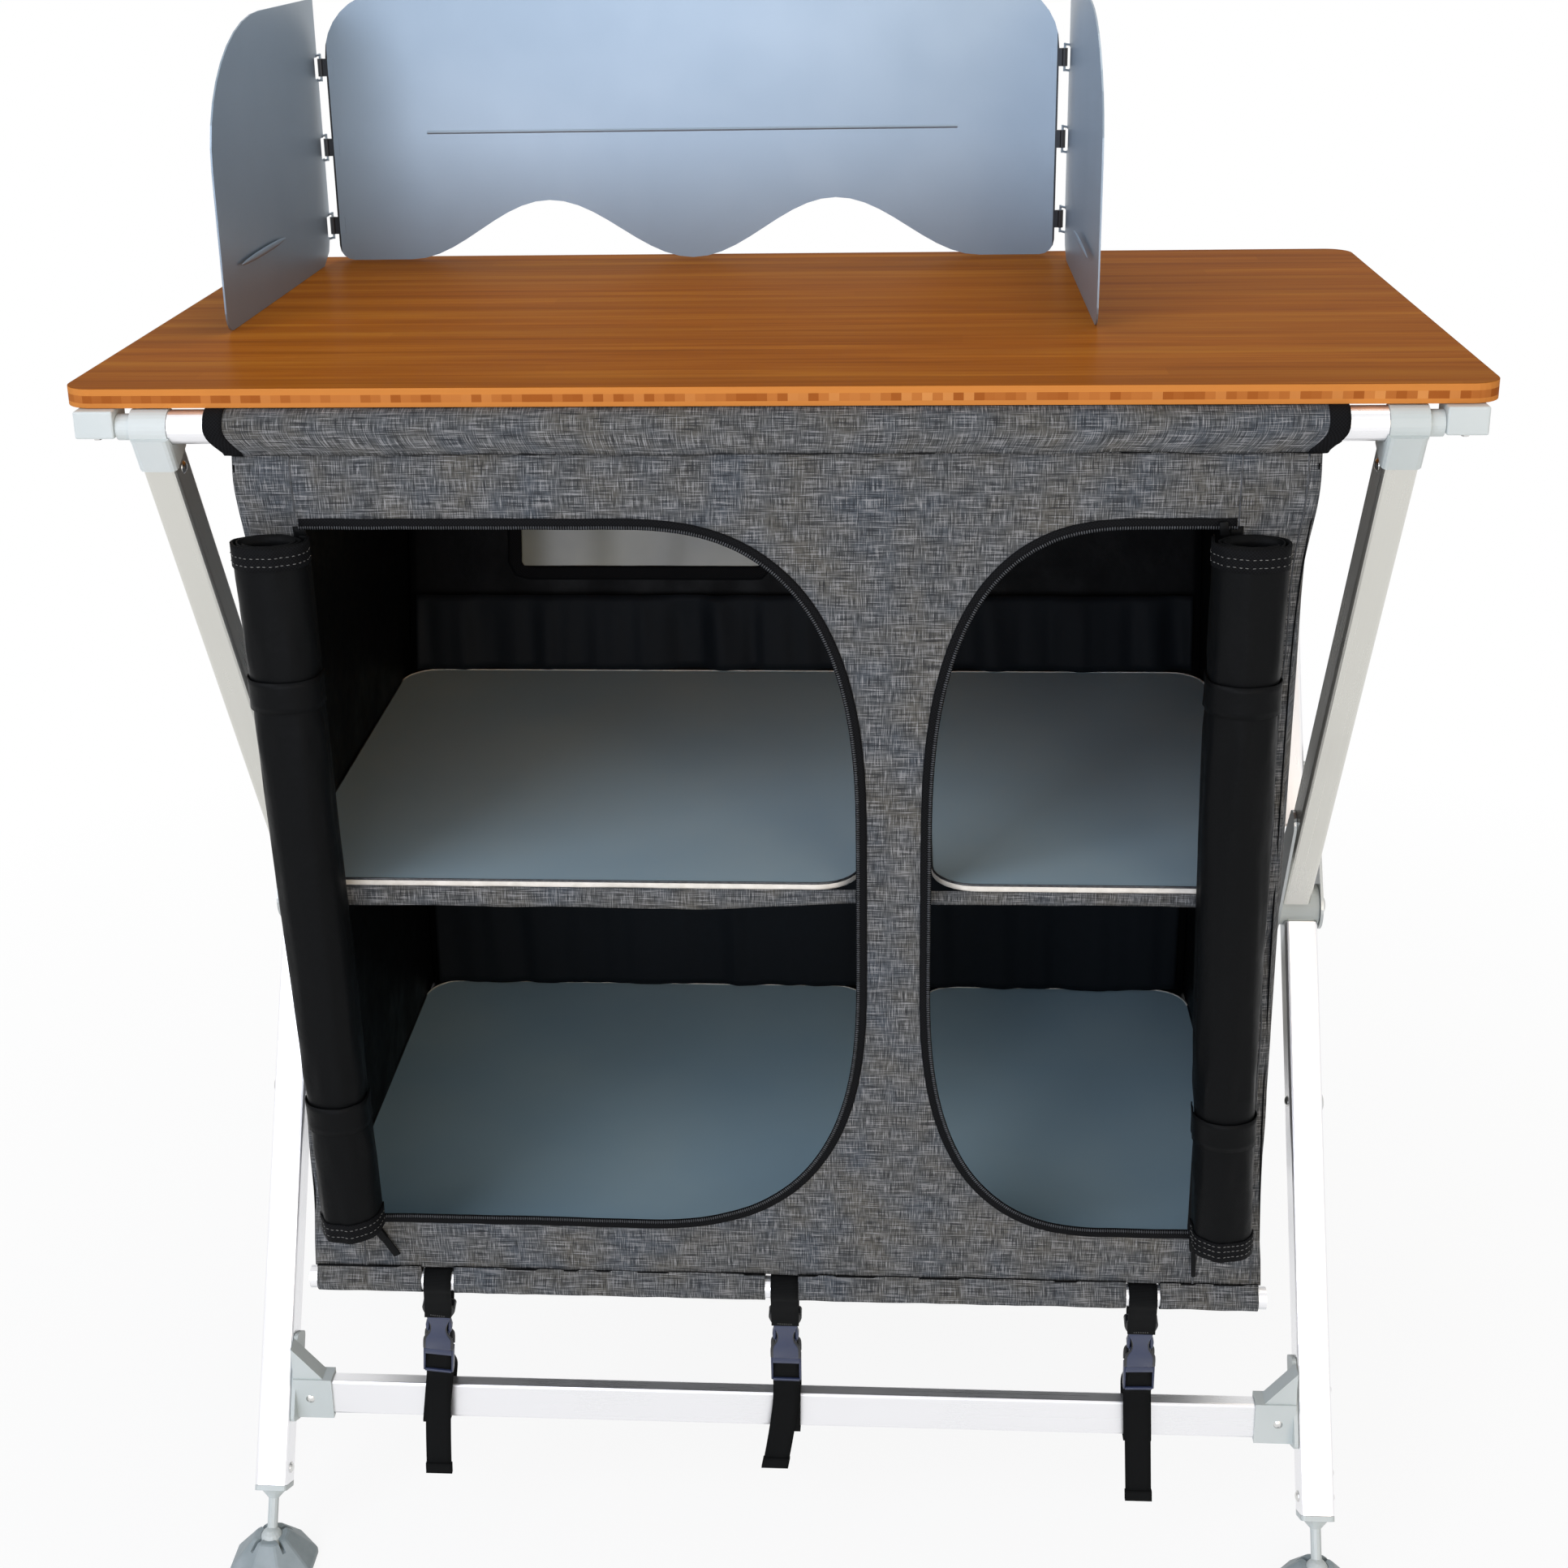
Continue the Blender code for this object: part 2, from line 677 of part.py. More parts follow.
def make_hub_plates():
    """Side plates of the hub: the outer one carries the pivot pin, the inner one turns on it."""
    inner, outer = hub_range()
    up = leg_direction(False, True)
    outer_x = outer + FIT + HUB_PLATE_THICK / 2
    arm = arm_outline(HUB_PLATE_RADIUS, HUB_ARM_RADIUS, HUB_ARM + 0.015)
    lay = basis((0, up.z, -up.y), (0, up.y, up.z), (outer_x, 0, HUB_HEIGHT))
    plate = prism("hub_plate_outer_right", [arm], HUB_PLATE_THICK, lay)
    spacers = []
    for along in (0.078, 0.106):
        start = leg_point(False, True, along, UPPER_X + UPPER_WIDE + FIT)
        end = leg_point(False, True, along, outer_x)
        spacers.append(rod("spacer", 0.007, start, end, 20))
    inner_x = inner - FIT - HUB_PLATE_THICK / 2
    tip = inner_x - HUB_PLATE_THICK / 2 - 2 * FIT
    pin = rod("pin", HUB_PIN_RADIUS, (tip - 0.001, 0, HUB_HEIGHT), (outer_x, 0, HUB_HEIGHT), 20)
    head = rod("head", 0.0075, (tip - 0.0018, 0, HUB_HEIGHT), (tip, 0, HUB_HEIGHT), 20)
    cap = rod("cap", 0.0075, (outer_x, 0, HUB_HEIGHT), (outer_x + 0.003, 0, HUB_HEIGHT), 20, 0.006)
    plate = place(joined(plate, pin, head, cap, *spacers), "frame_a", steel())
    reflected(plate, "hub_plate_outer_left", "X", "frame_a", steel())

    rise = leg_direction(True, True)
    half = arm_outline(HUB_PLATE_RADIUS, HUB_ARM_RADIUS, HUB_ARM)
    lay = basis((0, rise.z, -rise.y), (0, rise.y, rise.z), (inner_x, 0, HUB_HEIGHT))
    upper = prism("hub_plate_inner_right", [half], HUB_PLATE_THICK, lay)
    lay = basis((0, -rise.z, rise.y), (0, -rise.y, -rise.z), (inner_x, 0, HUB_HEIGHT))
    lower = prism("lower_arm", [half], HUB_PLATE_THICK, lay)
    eye = rod(
        "eye", HUB_PIN_RADIUS + RUN, (inner_x - 0.01, 0, HUB_HEIGHT), (inner_x + 0.01, 0, HUB_HEIGHT), 20,
    )
    plate = place(cut(joined(upper, lower), eye), "frame_b", steel())
    reflected(plate, "hub_plate_inner_left", "X", "frame_b", steel())


def make_rail(name, y, half, body):
    loops = [
        rounded(RAIL_DEEP, RAIL_TALL, 0.002, 3),
        rounded(RAIL_DEEP - 2 * RAIL_WALL, RAIL_TALL - 2 * RAIL_WALL, 0.001, 3),
    ]
    rail = prism(name, loops, 2 * half, facing_x(0, y, RAIL_HEIGHT))
    place(rail, body, anodised())


def make_bracket(name, front, x_face, body):
    """Bracket on a leg's inner face: side plate, gusset and a sleeve over the rail's end."""
    along = (HUB_HEIGHT - RAIL_HEIGHT) / math.cos(LEAN)
    y = leg_point(front, False, along).y
    plate_x = x_face - FIT - BRACKET_PLATE / 2
    run = leg_direction(front, False)
    lay = basis((0, run.z, -run.y), (0, run.y, run.z), leg_point(front, False, along - 0.012, plate_x))
    plate = prism(name, [rounded(LOWER_WIDE - 0.002, BRACKET_TALL, 0.004)], BRACKET_PLATE, lay)
    outer = plate_x
    inner = plate_x - BRACKET_PLATE / 2 - SLEEVE_LENGTH
    tall = RAIL_TALL + 2 * (SLEEVE_WALL + FIT)
    deep = RAIL_DEEP + 2 * (SLEEVE_WALL + FIT)
    block = cuboid("sleeve", (outer - inner, deep, tall), ((outer + inner) / 2, y, RAIL_HEIGHT))
    top = RAIL_HEIGHT + tall / 2 - 0.001
    wedge = [(inner + 0.006, top), (outer, top), (outer, top + GUSSET_SIDE + 0.004)]
    gusset = prism("gusset", [wedge], deep * 0.8, facing_y(y))
    shell = joined(plate, block, gusset)
    pocket = cuboid(
        "pocket", (SLEEVE_LENGTH + 0.01, RAIL_DEEP + 2 * FIT, RAIL_TALL + 2 * FIT),
        (inner + SLEEVE_LENGTH / 2 - 0.005, y, RAIL_HEIGHT),
    )
    made = place(cut(shell, pocket), body, pale_plastic())
    reflected(made, name.replace("right", "left"), "X", body, pale_plastic())
    return y, inner + SLEEVE_LENGTH - FIT


def make_rails():
    y, half = make_bracket("rail_bracket_front_right", True, FRONT_LOWER_X, "frame_a")
    make_rail("rail_front", y, half, "frame_a")
    y, half = make_bracket("rail_bracket_rear_right", False, REAR_LOWER_X, "frame_b")
    make_rail("rail_rear", y, half, "frame_b")


def make_foot(front, x_inner, body, pad_body, name):
    """Ball stem plugged in the leg's end, and the eight-sided pad that tilts on it."""
    x = x_inner + LOWER_WIDE / 2
    inside = 2 * (LEG_WALL + FIT)
    plug = leg_bar(
        f"foot_stem_{name}_right", front, False, x, LOWER_WIDE - inside, LOWER_WIDE - inside,
        LOWER_LENGTH - 0.030, LOWER_LENGTH + 0.001, LEG_ROUND - LEG_WALL,
    )
    flange = leg_bar("flange", front, False, x, LOWER_WIDE, LOWER_WIDE, LOWER_LENGTH + FIT, LOWER_LENGTH + 0.004)
    ball_along = (HUB_HEIGHT - BALL_HEIGHT) / math.cos(LEAN)
    centre = leg_point(front, False, ball_along, x)
    neck_start = leg_point(front, False, LOWER_LENGTH + 0.003, x)
    neck_mid = leg_point(front, False, LOWER_LENGTH + 0.012, x)
    cone = rod("cone", LOWER_WIDE * 0.46, neck_start, neck_mid, 16, NECK_RADIUS * 0.85)
    neck = rod("neck", NECK_RADIUS, neck_mid - (neck_mid - neck_start) * 0.7, centre, 12)
    knob = ball("knob", BALL_RADIUS, centre)
    stem = place(joined(plug, flange, cone, neck, knob), body, pale_plastic())
    reflected(stem, f"foot_stem_{name}_left", "X", body, pale_plastic())

    shape = bmesh.new()
    bmesh.ops.create_cone(
        shape, cap_ends=True, segments=8, radius1=PAD_RADIUS, radius2=PAD_RADIUS, depth=PAD_EDGE,
    )
    bmesh.ops.translate(shape, vec=(0, 0, PAD_EDGE / 2), verts=shape.verts)
    top = [face for face in shape.faces if face.normal.z > 0.9]
    raised = bmesh.ops.extrude_face_region(shape, geom=top)["geom"]
    bmesh.ops.delete(shape, geom=top, context="FACES")
    rim = [item for item in raised if isinstance(item, bmesh.types.BMVert)]
    bmesh.ops.translate(shape, vec=(0, 0, PAD_TOP - PAD_EDGE), verts=rim)
    shrink = PAD_CROWN / PAD_RADIUS
    bmesh.ops.scale(shape, vec=(shrink, shrink, 1), verts=rim)
    bmesh.ops.rotate(shape, matrix=Matrix.Rotation(math.radians(22.5), 3, "Z"), verts=shape.verts)
    bmesh.ops.translate(shape, vec=(x, centre.y, 0), verts=shape.verts)
    mesh = bpy.data.meshes.new(f"foot_pad_{name}_right")
    shape.to_mesh(mesh)
    shape.free()
    pad = softened(link(mesh, f"foot_pad_{name}_right"), 0.001, 1, 30)
    pocket = ball("pocket", BALL_RADIUS + FIT, centre)
    slot_top = PAD_TOP + 0.01
    slot_base = BALL_HEIGHT - 0.003
    slots = []
    for turn in (0, 90):
        slot = cuboid("slot", (2 * PAD_CROWN + 0.012, PAD_SLOT, slot_top - slot_base), (0, 0, 0))
        slot.data.transform(Matrix.Rotation(math.radians(turn + 45), 4, "Z"))
        slot.data.transform(Matrix.Translation((x, centre.y, (slot_top + slot_base) / 2)))
        slots.append(slot)
    pad = place(cut(pad, pocket, *slots), f"{pad_body}_right", pale_plastic())
    reflected(pad, f"foot_pad_{name}_left", "X", f"{pad_body}_left", pale_plastic())


def make_feet():
    make_foot(True, FRONT_LOWER_X, "frame_a", "foot_front", "front")
    make_foot(False, REAR_LOWER_X, "frame_b", "foot_rear", "rear")


def clip_heights():
    return [TOP_HEIGHT + CLIP_FIRST + CLIP_PITCH * index for index in range(3)]


def shield_outline():
    """Centre panel: round top corners, two arches between three feet."""
    centre = (SHIELD_LEFT + SHIELD_RIGHT) / 2
    left = SHIELD_LEFT + CLIP_WIDE
    right = SHIELD_RIGHT - CLIP_WIDE
    base = TOP_HEIGHT + FIT
    top = TOP_HEIGHT + SHIELD_HEIGHT
    corner = SHIELD_CORNER
    foot = SHIELD_FOOT_CORNER
    points = arc(right - corner, top - corner, corner, 0, 90, 8)
    points += arc(left + corner, top - corner, corner, 90, 180, 8)
    points += arc(left + foot, base + foot, foot, 180, 270, 4)
    steps = 40
    for step in range(steps + 1):
        x = centre - ARCH_PITCH + 2 * ARCH_PITCH * step / steps
        wave = (1 - math.cos(2 * math.pi * (x - centre) / ARCH_PITCH)) / 2
        points.append((x, base + ARCH_HEIGHT * wave))
    points += arc(right - foot, base + foot, foot, 270, 360, 4)
    return points


def clip_pair(name, hinge_x, side):
    """Spring clips of one hinge line, fused to the panel that carries them."""
    clips = []
    for height in clip_heights():
        start = (hinge_x, SHIELD_Y, height - CLIP_TALL / 2)
        end = (hinge_x, SHIELD_Y, height + CLIP_TALL / 2)
        knuckle = rod("knuckle", CLIP_RADIUS, start, end, 12)
        tab = cuboid(
            "tab", (CLIP_WIDE + 0.006, 0.0022, CLIP_TALL),
            (hinge_x + side * (CLIP_WIDE + 0.006) / 2, SHIELD_Y, height),
        )
        clips.append(joined(knuckle, tab))
        clips[-1].name = name
    return clips


def make_windshield():
    """Centre panel with its spring clips, and a wing hung on each side."""
    panel = prism("windshield_centre", [shield_outline()], SHIELD_THICK, facing_y(SHIELD_Y))
    rib_half = 0.2165
    centre = (SHIELD_LEFT + SHIELD_RIGHT) / 2
    rib_z = TOP_HEIGHT + 0.104
    rib = rod("rib", RIB_RADIUS, (centre - rib_half, SHIELD_Y, rib_z), (centre + rib_half, SHIELD_Y, rib_z), 12)
    clips = clip_pair("clip", SHIELD_LEFT, 1) + clip_pair("clip", SHIELD_RIGHT, -1)
    bores = []
    for hinge_x in (SHIELD_LEFT, SHIELD_RIGHT):
        low = (hinge_x, SHIELD_Y, TOP_HEIGHT + 0.001)
        high = (hinge_x, SHIELD_Y, TOP_HEIGHT + SHIELD_HEIGHT)
        bores.append(rod("bore", HINGE_WIRE + FIT, low, high, 10))
    panel = cut(joined(panel, rib, *clips), *bores)
    place(panel, "windshield", sheet_metal())

    sides = (("wing_left", SHIELD_LEFT, -WING_SET_LEFT), ("wing_right", SHIELD_RIGHT, WING_SET_RIGHT))
    for name, hinge_x, set_out in sides:
        base = TOP_HEIGHT + FIT
        top = base + SHIELD_HEIGHT - 0.004
        rear = SHIELD_Y - CLIP_RADIUS - RUN
        front = SHIELD_Y - WING_LENGTH
        points = [(rear, base + 0.028), (rear, top)]
        points += [
            (front + WING_CURVE_LENGTH * (1 - math.sin(turn)), top - WING_CURVE_HEIGHT * (1 - math.cos(turn)))
            for turn in (math.radians(9 * step) for step in range(11))
        ]
        points += arc(front + 0.014, base + 0.014, 0.014, 180, 270, 5)
        points += [(rear - 0.028, base), (rear - 0.010, base + 0.009)]
        wing = prism(f"windshield_{name}", [points[::-1]], SHIELD_THICK, facing_x(hinge_x + set_out))
        window_deep = CLIP_WIDE + 0.0075
        windows = [
            cuboid("window", (0.02, 2 * window_deep, CLIP_TALL + 0.003), (hinge_x, SHIELD_Y, height))
            for height in clip_heights()
        ]
        wing = cut(wing, *windows)
        wires = []
        for height in clip_heights():
            reach = CLIP_TALL / 2 + 0.004
            low = (hinge_x, SHIELD_Y, height - reach)
            high = (hinge_x, SHIELD_Y, height + reach)
            wires.append(rod("wire", HINGE_WIRE, low, high, 8))
            for end in (height - reach + HINGE_WIRE, height + reach - HINGE_WIRE):
                hook = (hinge_x + set_out, rear - 0.004, end)
                wires.append(rod("arm", HINGE_WIRE * 0.95, (hinge_x, SHIELD_Y, end), hook, 8))
        wing = joined(wing, *wires)
        place(wing, name, sheet_metal())


def make_sleeve():
    """Fabric sleeve round the front top tube, drawn to the seam that carries the front panel."""
    out = TUBE_RADIUS + FIT + SLEEVE_CLOTH
    seam_y = FRONT_TOP_Y + TUBE_REACH
    seam_z = PANEL_TOP + FIT - TUBE_HEIGHT
    outline = arc(0, 0, out, 200, 200 - 270, 26)
    outline += [(-0.004, seam_z * 0.8), (seam_y + CLOTH, seam_z), (seam_y, seam_z)]
    loops = [outline, ring(TUBE_RADIUS + FIT, 32)]
    sleeve = prism("cupboard_sleeve", loops, 2 * SLEEVE_HALF, facing_x(0, -TUBE_REACH, TUBE_HEIGHT))
    place(sleeve, "frame_b", grey_fabric())


def door_outline(door):
    """Opening with a straight side by the rolled door and a full curve on the other."""
    straight, centre, curved = door
    reach = curved - centre
    points = [(straight, DOOR_BASE), (straight, DOOR_TOP)]
    quarters = ((DOOR_TOP, DOOR_ROUND_TOP, 1), (DOOR_BASE, DOOR_ROUND_BASE, -1))
    for level, tall, side in quarters:
        turns = range(0, 13) if side > 0 else range(12, -1, -1)
        for step in turns:
            turn = math.radians(7.5 * step)
            u = math.sin(turn) ** (2 / DOOR_POWER)
            v = math.cos(turn) ** (2 / DOOR_POWER)
            points.append((centre + reach * u, level - side * tall * (1 - v)))
    return points


def lean_y(height):
    """Outer face of the front panel at a height."""
    share = (PANEL_TOP - height) / (PANEL_TOP - HEM_HEIGHT)
    return FRONT_TOP_Y + share * (FRONT_BASE_Y - FRONT_TOP_Y)


def make_front_panel():
    """Front panel with two door openings and the hem sleeve that holds the tube."""
    low = HEM_HEIGHT + HEM_RADIUS
    outline = [(-PANEL_HALF, low), (PANEL_HALF, low), (PANEL_HALF, PANEL_TOP), (-PANEL_HALF, PANEL_TOP)]
    panel = prism("cupboard_front", [outline, door_outline(LEFT_DOOR), door_outline(RIGHT_DOOR)], CLOTH, facing_y(0))
    for vertex in panel.data.vertices:
        vertex.co.y += lean_y(vertex.co.z) + CLOTH / 2
    hem = prism(
        "hem", [ring(HEM_RADIUS + FIT + CLOTH, 20), ring(HEM_RADIUS + FIT, 20)], 2 * (HEM_HALF - 0.006),
        facing_x(0, HEM_Y, HEM_HEIGHT),
    )
    seam = HEM_HEIGHT + HEM_RADIUS + FIT + CLOTH / 2
    bridge = cuboid("bridge", (2 * PANEL_HALF - 0.004, 0.004, 0.006), (0, lean_y(low) + 0.0027, seam + 0.003))
    notches = [
        cuboid("notch", (HEM_NOTCH, 0.03, 0.028), (x, HEM_Y, HEM_HEIGHT - 0.001)) for _, x in strap_places()
    ]
    panel = cut(joined(panel, hem, bridge), *notches)
    place(panel, "frame_a", grey_fabric())


def make_sides():
    """Side panels, held between the front and back panels."""
    low = FLOOR_HEIGHT + CLOTH + FIT
    high = SIDE_TOP - 0.006
    inset = CLOTH + FIT
    outline = [
        (lean_y(low) + inset + 0.004, low),
        (BACK_Y - FIT - 0.005, low),
        (BACK_Y - FIT, low + 0.005),
        (BACK_Y - FIT, BACK_KNEE_HEIGHT),
        (back_inside(high) - FIT, high),
        (lean_y(high) + inset + 0.0125, high),
        (lean_y(high - 0.006) + inset, high - 0.006),
    ]
    wall = prism("cupboard_side_right", [outline], CLOTH, facing_x(PANEL_HALF - CLOTH / 2))
    wall = place(wall, "frame_a", grey_fabric())
    reflected(wall, "cupboard_side_left", "X", "frame_a", grey_fabric())


def back_inside(height):
    """Inner face of the back panel at a height: upright to the knee, then leaning to the rear tube."""
    share = max(0.0, (height - BACK_KNEE_HEIGHT) / (TUBE_HEIGHT - 0.006 - BACK_KNEE_HEIGHT))
    return BACK_Y + share * (TUBE_REACH + TUBE_RADIUS - 0.0012 - BACK_Y)


def make_back_panel():
    """Floor, back and rear sleeve, sewn as one length of cloth."""
    wrap = TUBE_RADIUS + FIT + CLOTH / 2
    face = BACK_Y + CLOTH / 2
    floor = FLOOR_HEIGHT + CLOTH / 2
    path = [(HEM_Y + 0.012, floor), (face - 0.004, floor), (face, floor + 0.004), (face, BACK_KNEE_HEIGHT)]
    path += [(TUBE_REACH + u, TUBE_HEIGHT + v) for u, v in arc(0, 0, wrap, -20, 48, 5)]
    outline = ribbon(path, CLOTH)
    back = prism("cupboard_back", [outline], 2 * PANEL_HALF, facing_x(0))
    place(back, "frame_a", grey_fabric())


def make_hem_tube():
    loops = [ring(HEM_RADIUS, 24), ring(HEM_RADIUS - HEM_WALL, 24)]
    tube = prism("hem_tube", loops, 2 * HEM_HALF, facing_x(0, HEM_Y, HEM_HEIGHT))
    place(tube, "frame_a", anodised())


def make_shelves():
    half = PANEL_HALF - CLOTH - FIT
    middle = (SHELF_FRONT + SHELF_BACK) / 2
    deep = SHELF_BACK - SHELF_FRONT
    outline = rounded(2 * half, deep, SHELF_CORNER, 6)
    shelf = prism("shelf_middle", [outline], SHELF_THICK, facing_z(SHELF_HEIGHT - SHELF_THICK / 2, 0, middle))
    place(softened(shelf, 0.001, 2), "frame_a", board())
    low = FLOOR_HEIGHT + CLOTH + FIT
    base = prism("shelf_base", [outline], BASE_THICK, facing_z(low + BASE_THICK / 2, 0, middle + 0.003))
    place(softened(base, 0.001, 2), "frame_a", board())


def make_roll(name, side):
    """Rolled-up door: an oval roll drawn in where the two ties hold it."""
    rings = 15
    sides = 24
    shape = bmesh.new()
    loops = []
    for index in range(rings):
        share = index / (rings - 1)
        z = ROLL_TOP + (ROLL_BASE - ROLL_TOP) * share
        wide = ROLL_TOP_WIDE + (ROLL_BASE_WIDE - ROLL_TOP_WIDE) * share
        deep = ROLL_DEEP
        for tie in TIE_HEIGHTS:
            near = math.exp(-((z - tie) / 0.022) ** 2)
            wide *= 1 - (1 - TIE_PINCH) * near
            deep *= 1 - 0.5 * (1 - TIE_PINCH) * near
        x = side * (ROLL_TOP_X + (ROLL_BASE_X - ROLL_TOP_X) * share)
        y = lean_y(z) - FIT - ROLL_DEEP
        circle = bmesh.ops.create_circle(shape, cap_ends=False, segments=sides, radius=1.0)
        verts = circle["verts"]
        bmesh.ops.scale(shape, vec=(wide, deep, 1), verts=verts)
        bmesh.ops.translate(shape, vec=(x, y, z), verts=verts)
        loops.append(sorted({edge for vert in verts for edge in vert.link_edges}, key=lambda edge: edge.index))
    for upper, lower in zip(loops, loops[1:]):
        bmesh.ops.bridge_loops(shape, edges=upper + lower)
    bmesh.ops.holes_fill(shape, edges=loops[0])
    bmesh.ops.holes_fill(shape, edges=loops[-1])
    bmesh.ops.recalc_face_normals(shape, faces=shape.faces)
    mesh = bpy.data.meshes.new(name)
    shape.to_mesh(mesh)
    shape.free()
    place(link(mesh, name), "frame_a", black_cloth())


def strap_line():
    """Start of the strap's straight run at the hem tube, and its direction towards the rail."""
    start = Vector((0, HEM_Y, HEM_HEIGHT))
    along = (HUB_HEIGHT - RAIL_HEIGHT) / math.cos(LEAN)
    rail = leg_point(True, False, along)
    end = Vector((0, rail.y - RAIL_DEEP / 2 - LOOP_SLACK, RAIL_HEIGHT + RAIL_TALL / 2))
    return start, (end - start).normalized()


def strap_matrix(x):
    """Local X across the strap, local Y down along it, local Z towards the back."""
    start, down = strap_line()
    return basis((1, 0, 0), down, start + Vector((x, 0, 0)))


def side_matrix(x):
    """An outline drawn with U along the strap and V towards the front, thick across it."""
    start, down = strap_line()
    front = down.cross(Vector((1, 0, 0)))
    return basis(down, front, start + Vector((x, 0, 0)))


def strap_box(name, size, centre, x):
    block = cuboid(name, size, centre)
    block.data.transform(strap_matrix(x))
    return block


def make_strap_upper(name, x):
    """Webbing loop round the hem tube, sewn on the buckle's socket half."""
    inner = HEM_RADIUS + FIT
    outer = inner + WEB_THICK
    spread = 52
    half = WEB_THICK * 0.9
    outline = arc(0, 0, outer, spread, 360 - spread, 22)
    outline += [(BUCKLE_START - 0.008, -half), (BUCKLE_START + 0.004, -half)]
    outline += [(BUCKLE_START + 0.004, half), (BUCKLE_START - 0.008, half)]
    hole = arc(0, 0, inner, spread + 6, 354 - spread, 20)
    hole += [(BUCKLE_START - 0.014, 0)]
    web = prism(name, [outline, hole], WEB_WIDE, side_matrix(x))
    end = BUCKLE_START + BUCKLE_LENGTH
    body = prism("body", [rounded(BUCKLE_WIDE, BUCKLE_LENGTH, 0.004)], BUCKLE_THICK,
                 strap_matrix(x) @ Matrix.Translation((0, BUCKLE_START + BUCKLE_LENGTH / 2, 0)))
    body = softened(body, 0.0012, 2)
    pocket = strap_box("pocket", (BUCKLE_WIDE - 0.006, 0.026, BUCKLE_THICK - 0.004), (0, end - 0.008, 0), x)
    windows = [
        strap_box("window", (0.009, 0.011, BUCKLE_THICK - 0.0046), (side * BUCKLE_WIDE / 2, end - 0.012, 0), x)
        for side in (-1, 1)
    ]
    body = cut(body, pocket, *windows)
    place(joined(web, body), "frame_a", webbing())


def make_strap_lower(name, x, body_name):
    """Tongue half of the buckle with its ladder, the webbing loop round the rail and the tail."""
    end = BUCKLE_START + BUCKLE_LENGTH
    start = end + 2 * FIT
    thick = BUCKLE_THICK - 0.005
    frame = prism(
        name,
        [
            rounded(BUCKLE_WIDE, LADDER_LENGTH, 0.003),
            rounded(BUCKLE_WIDE - 0.005, 0.0035, 0.001, 2, 0, -0.004),
            rounded(BUCKLE_WIDE - 0.005, 0.0035, 0.001, 2, 0, 0.003),
        ],
        thick, strap_matrix(x) @ Matrix.Translation((0, start + LADDER_LENGTH / 2, 0)),
    )
    middle = start - PRONG_LENGTH / 2 + 0.002
    prongs = [strap_box("guide", (0.004, PRONG_LENGTH, 0.0026), (0, middle, 0), x)]
    for side in (-1, 1):
        reach = side * (BUCKLE_WIDE / 2 - 0.0058)
        prongs.append(strap_box("prong", (0.003, PRONG_LENGTH, 0.0039), (reach, middle, 0), x))
        barb_at = start - PRONG_LENGTH + 0.0058
        prongs.append(strap_box("barb", (0.0026, 0.006, 0.0034), (reach + side * 0.00115, barb_at, 0), x))
    origin, down = strap_line()
    front = down.cross(Vector((1, 0, 0)))
    apex_at = start + LADDER_LENGTH - 0.002
    apex = origin + down * apex_at
    along = (HUB_HEIGHT - RAIL_HEIGHT) / math.cos(LEAN)
    rail_y = leg_point(True, False, along).y
    near = rail_y - RAIL_DEEP / 2 - LOOP_SLACK
    far = rail_y + RAIL_DEEP / 2 + 0.0015
    low = RAIL_HEIGHT - RAIL_TALL / 2 - FIT
    high = RAIL_HEIGHT + RAIL_TALL / 2 + 0.017
    half = WEB_THICK / 2
    ends = [origin + down * (apex_at + 0.0005) + front * offset for offset in (0.0009, -0.0011)]
    path = [(ends[0].y, ends[0].z), (near - half, high), (near - half, low + 0.004), (near + 0.0022, low + 0.0002)]
    path += [(near + 0.006, low - half), (far - 0.002, low - half), (far + half, low + 0.0015)]
    path += [(far + half, high - 0.004), (ends[1].y, ends[1].z)]
    loop = prism("loop", [ribbon(path, WEB_THICK)], WEB_WIDE, facing_x(x))
    bar = strap_box("bar", (WEB_WIDE + 0.0022, 0.0076, 0.0041), (0, apex_at - 0.0026, 0), x)
    tail_y = near - WEB_THICK - 0.0022
    lip = apex + front * 0.0022
    path = [(lip.y, lip.z), (tail_y, high - 0.002), (tail_y, RAIL_HEIGHT), (tail_y - 0.002, TAIL_END)]
    tail = prism("tail", [ribbon(path, WEB_THICK)], WEB_WIDE - 0.0006, facing_x(x))
    place(joined(frame, *prongs, bar, loop, tail), body_name, buckle_plastic())


def make_straps():
    for side, x in strap_places():
        make_strap_upper(f"strap_socket_{side}", x)
        make_strap_lower(f"strap_tongue_{side}", x, f"tongue_{side}")


def build():
    start()
    make_bodies()
    make_worktop()
    make_end_blocks()
    make_catches()
    make_collars()
    make_top_tubes()
    make_corners()
    make_legs()
    make_hub_blocks()
    make_hub_plates()
    make_rails()
    make_feet()
    make_windshield()
    make_sleeve()
    make_front_panel()
    make_sides()
    make_back_panel()
    make_hem_tube()
    make_shelves()
    make_roll("door_roll_left", -1)
    make_roll("door_roll_right", 1)
    make_straps()


build()
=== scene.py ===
import math
from bisect import bisect_right

import bmesh
import bpy
from mathutils import Matrix, Vector, noise


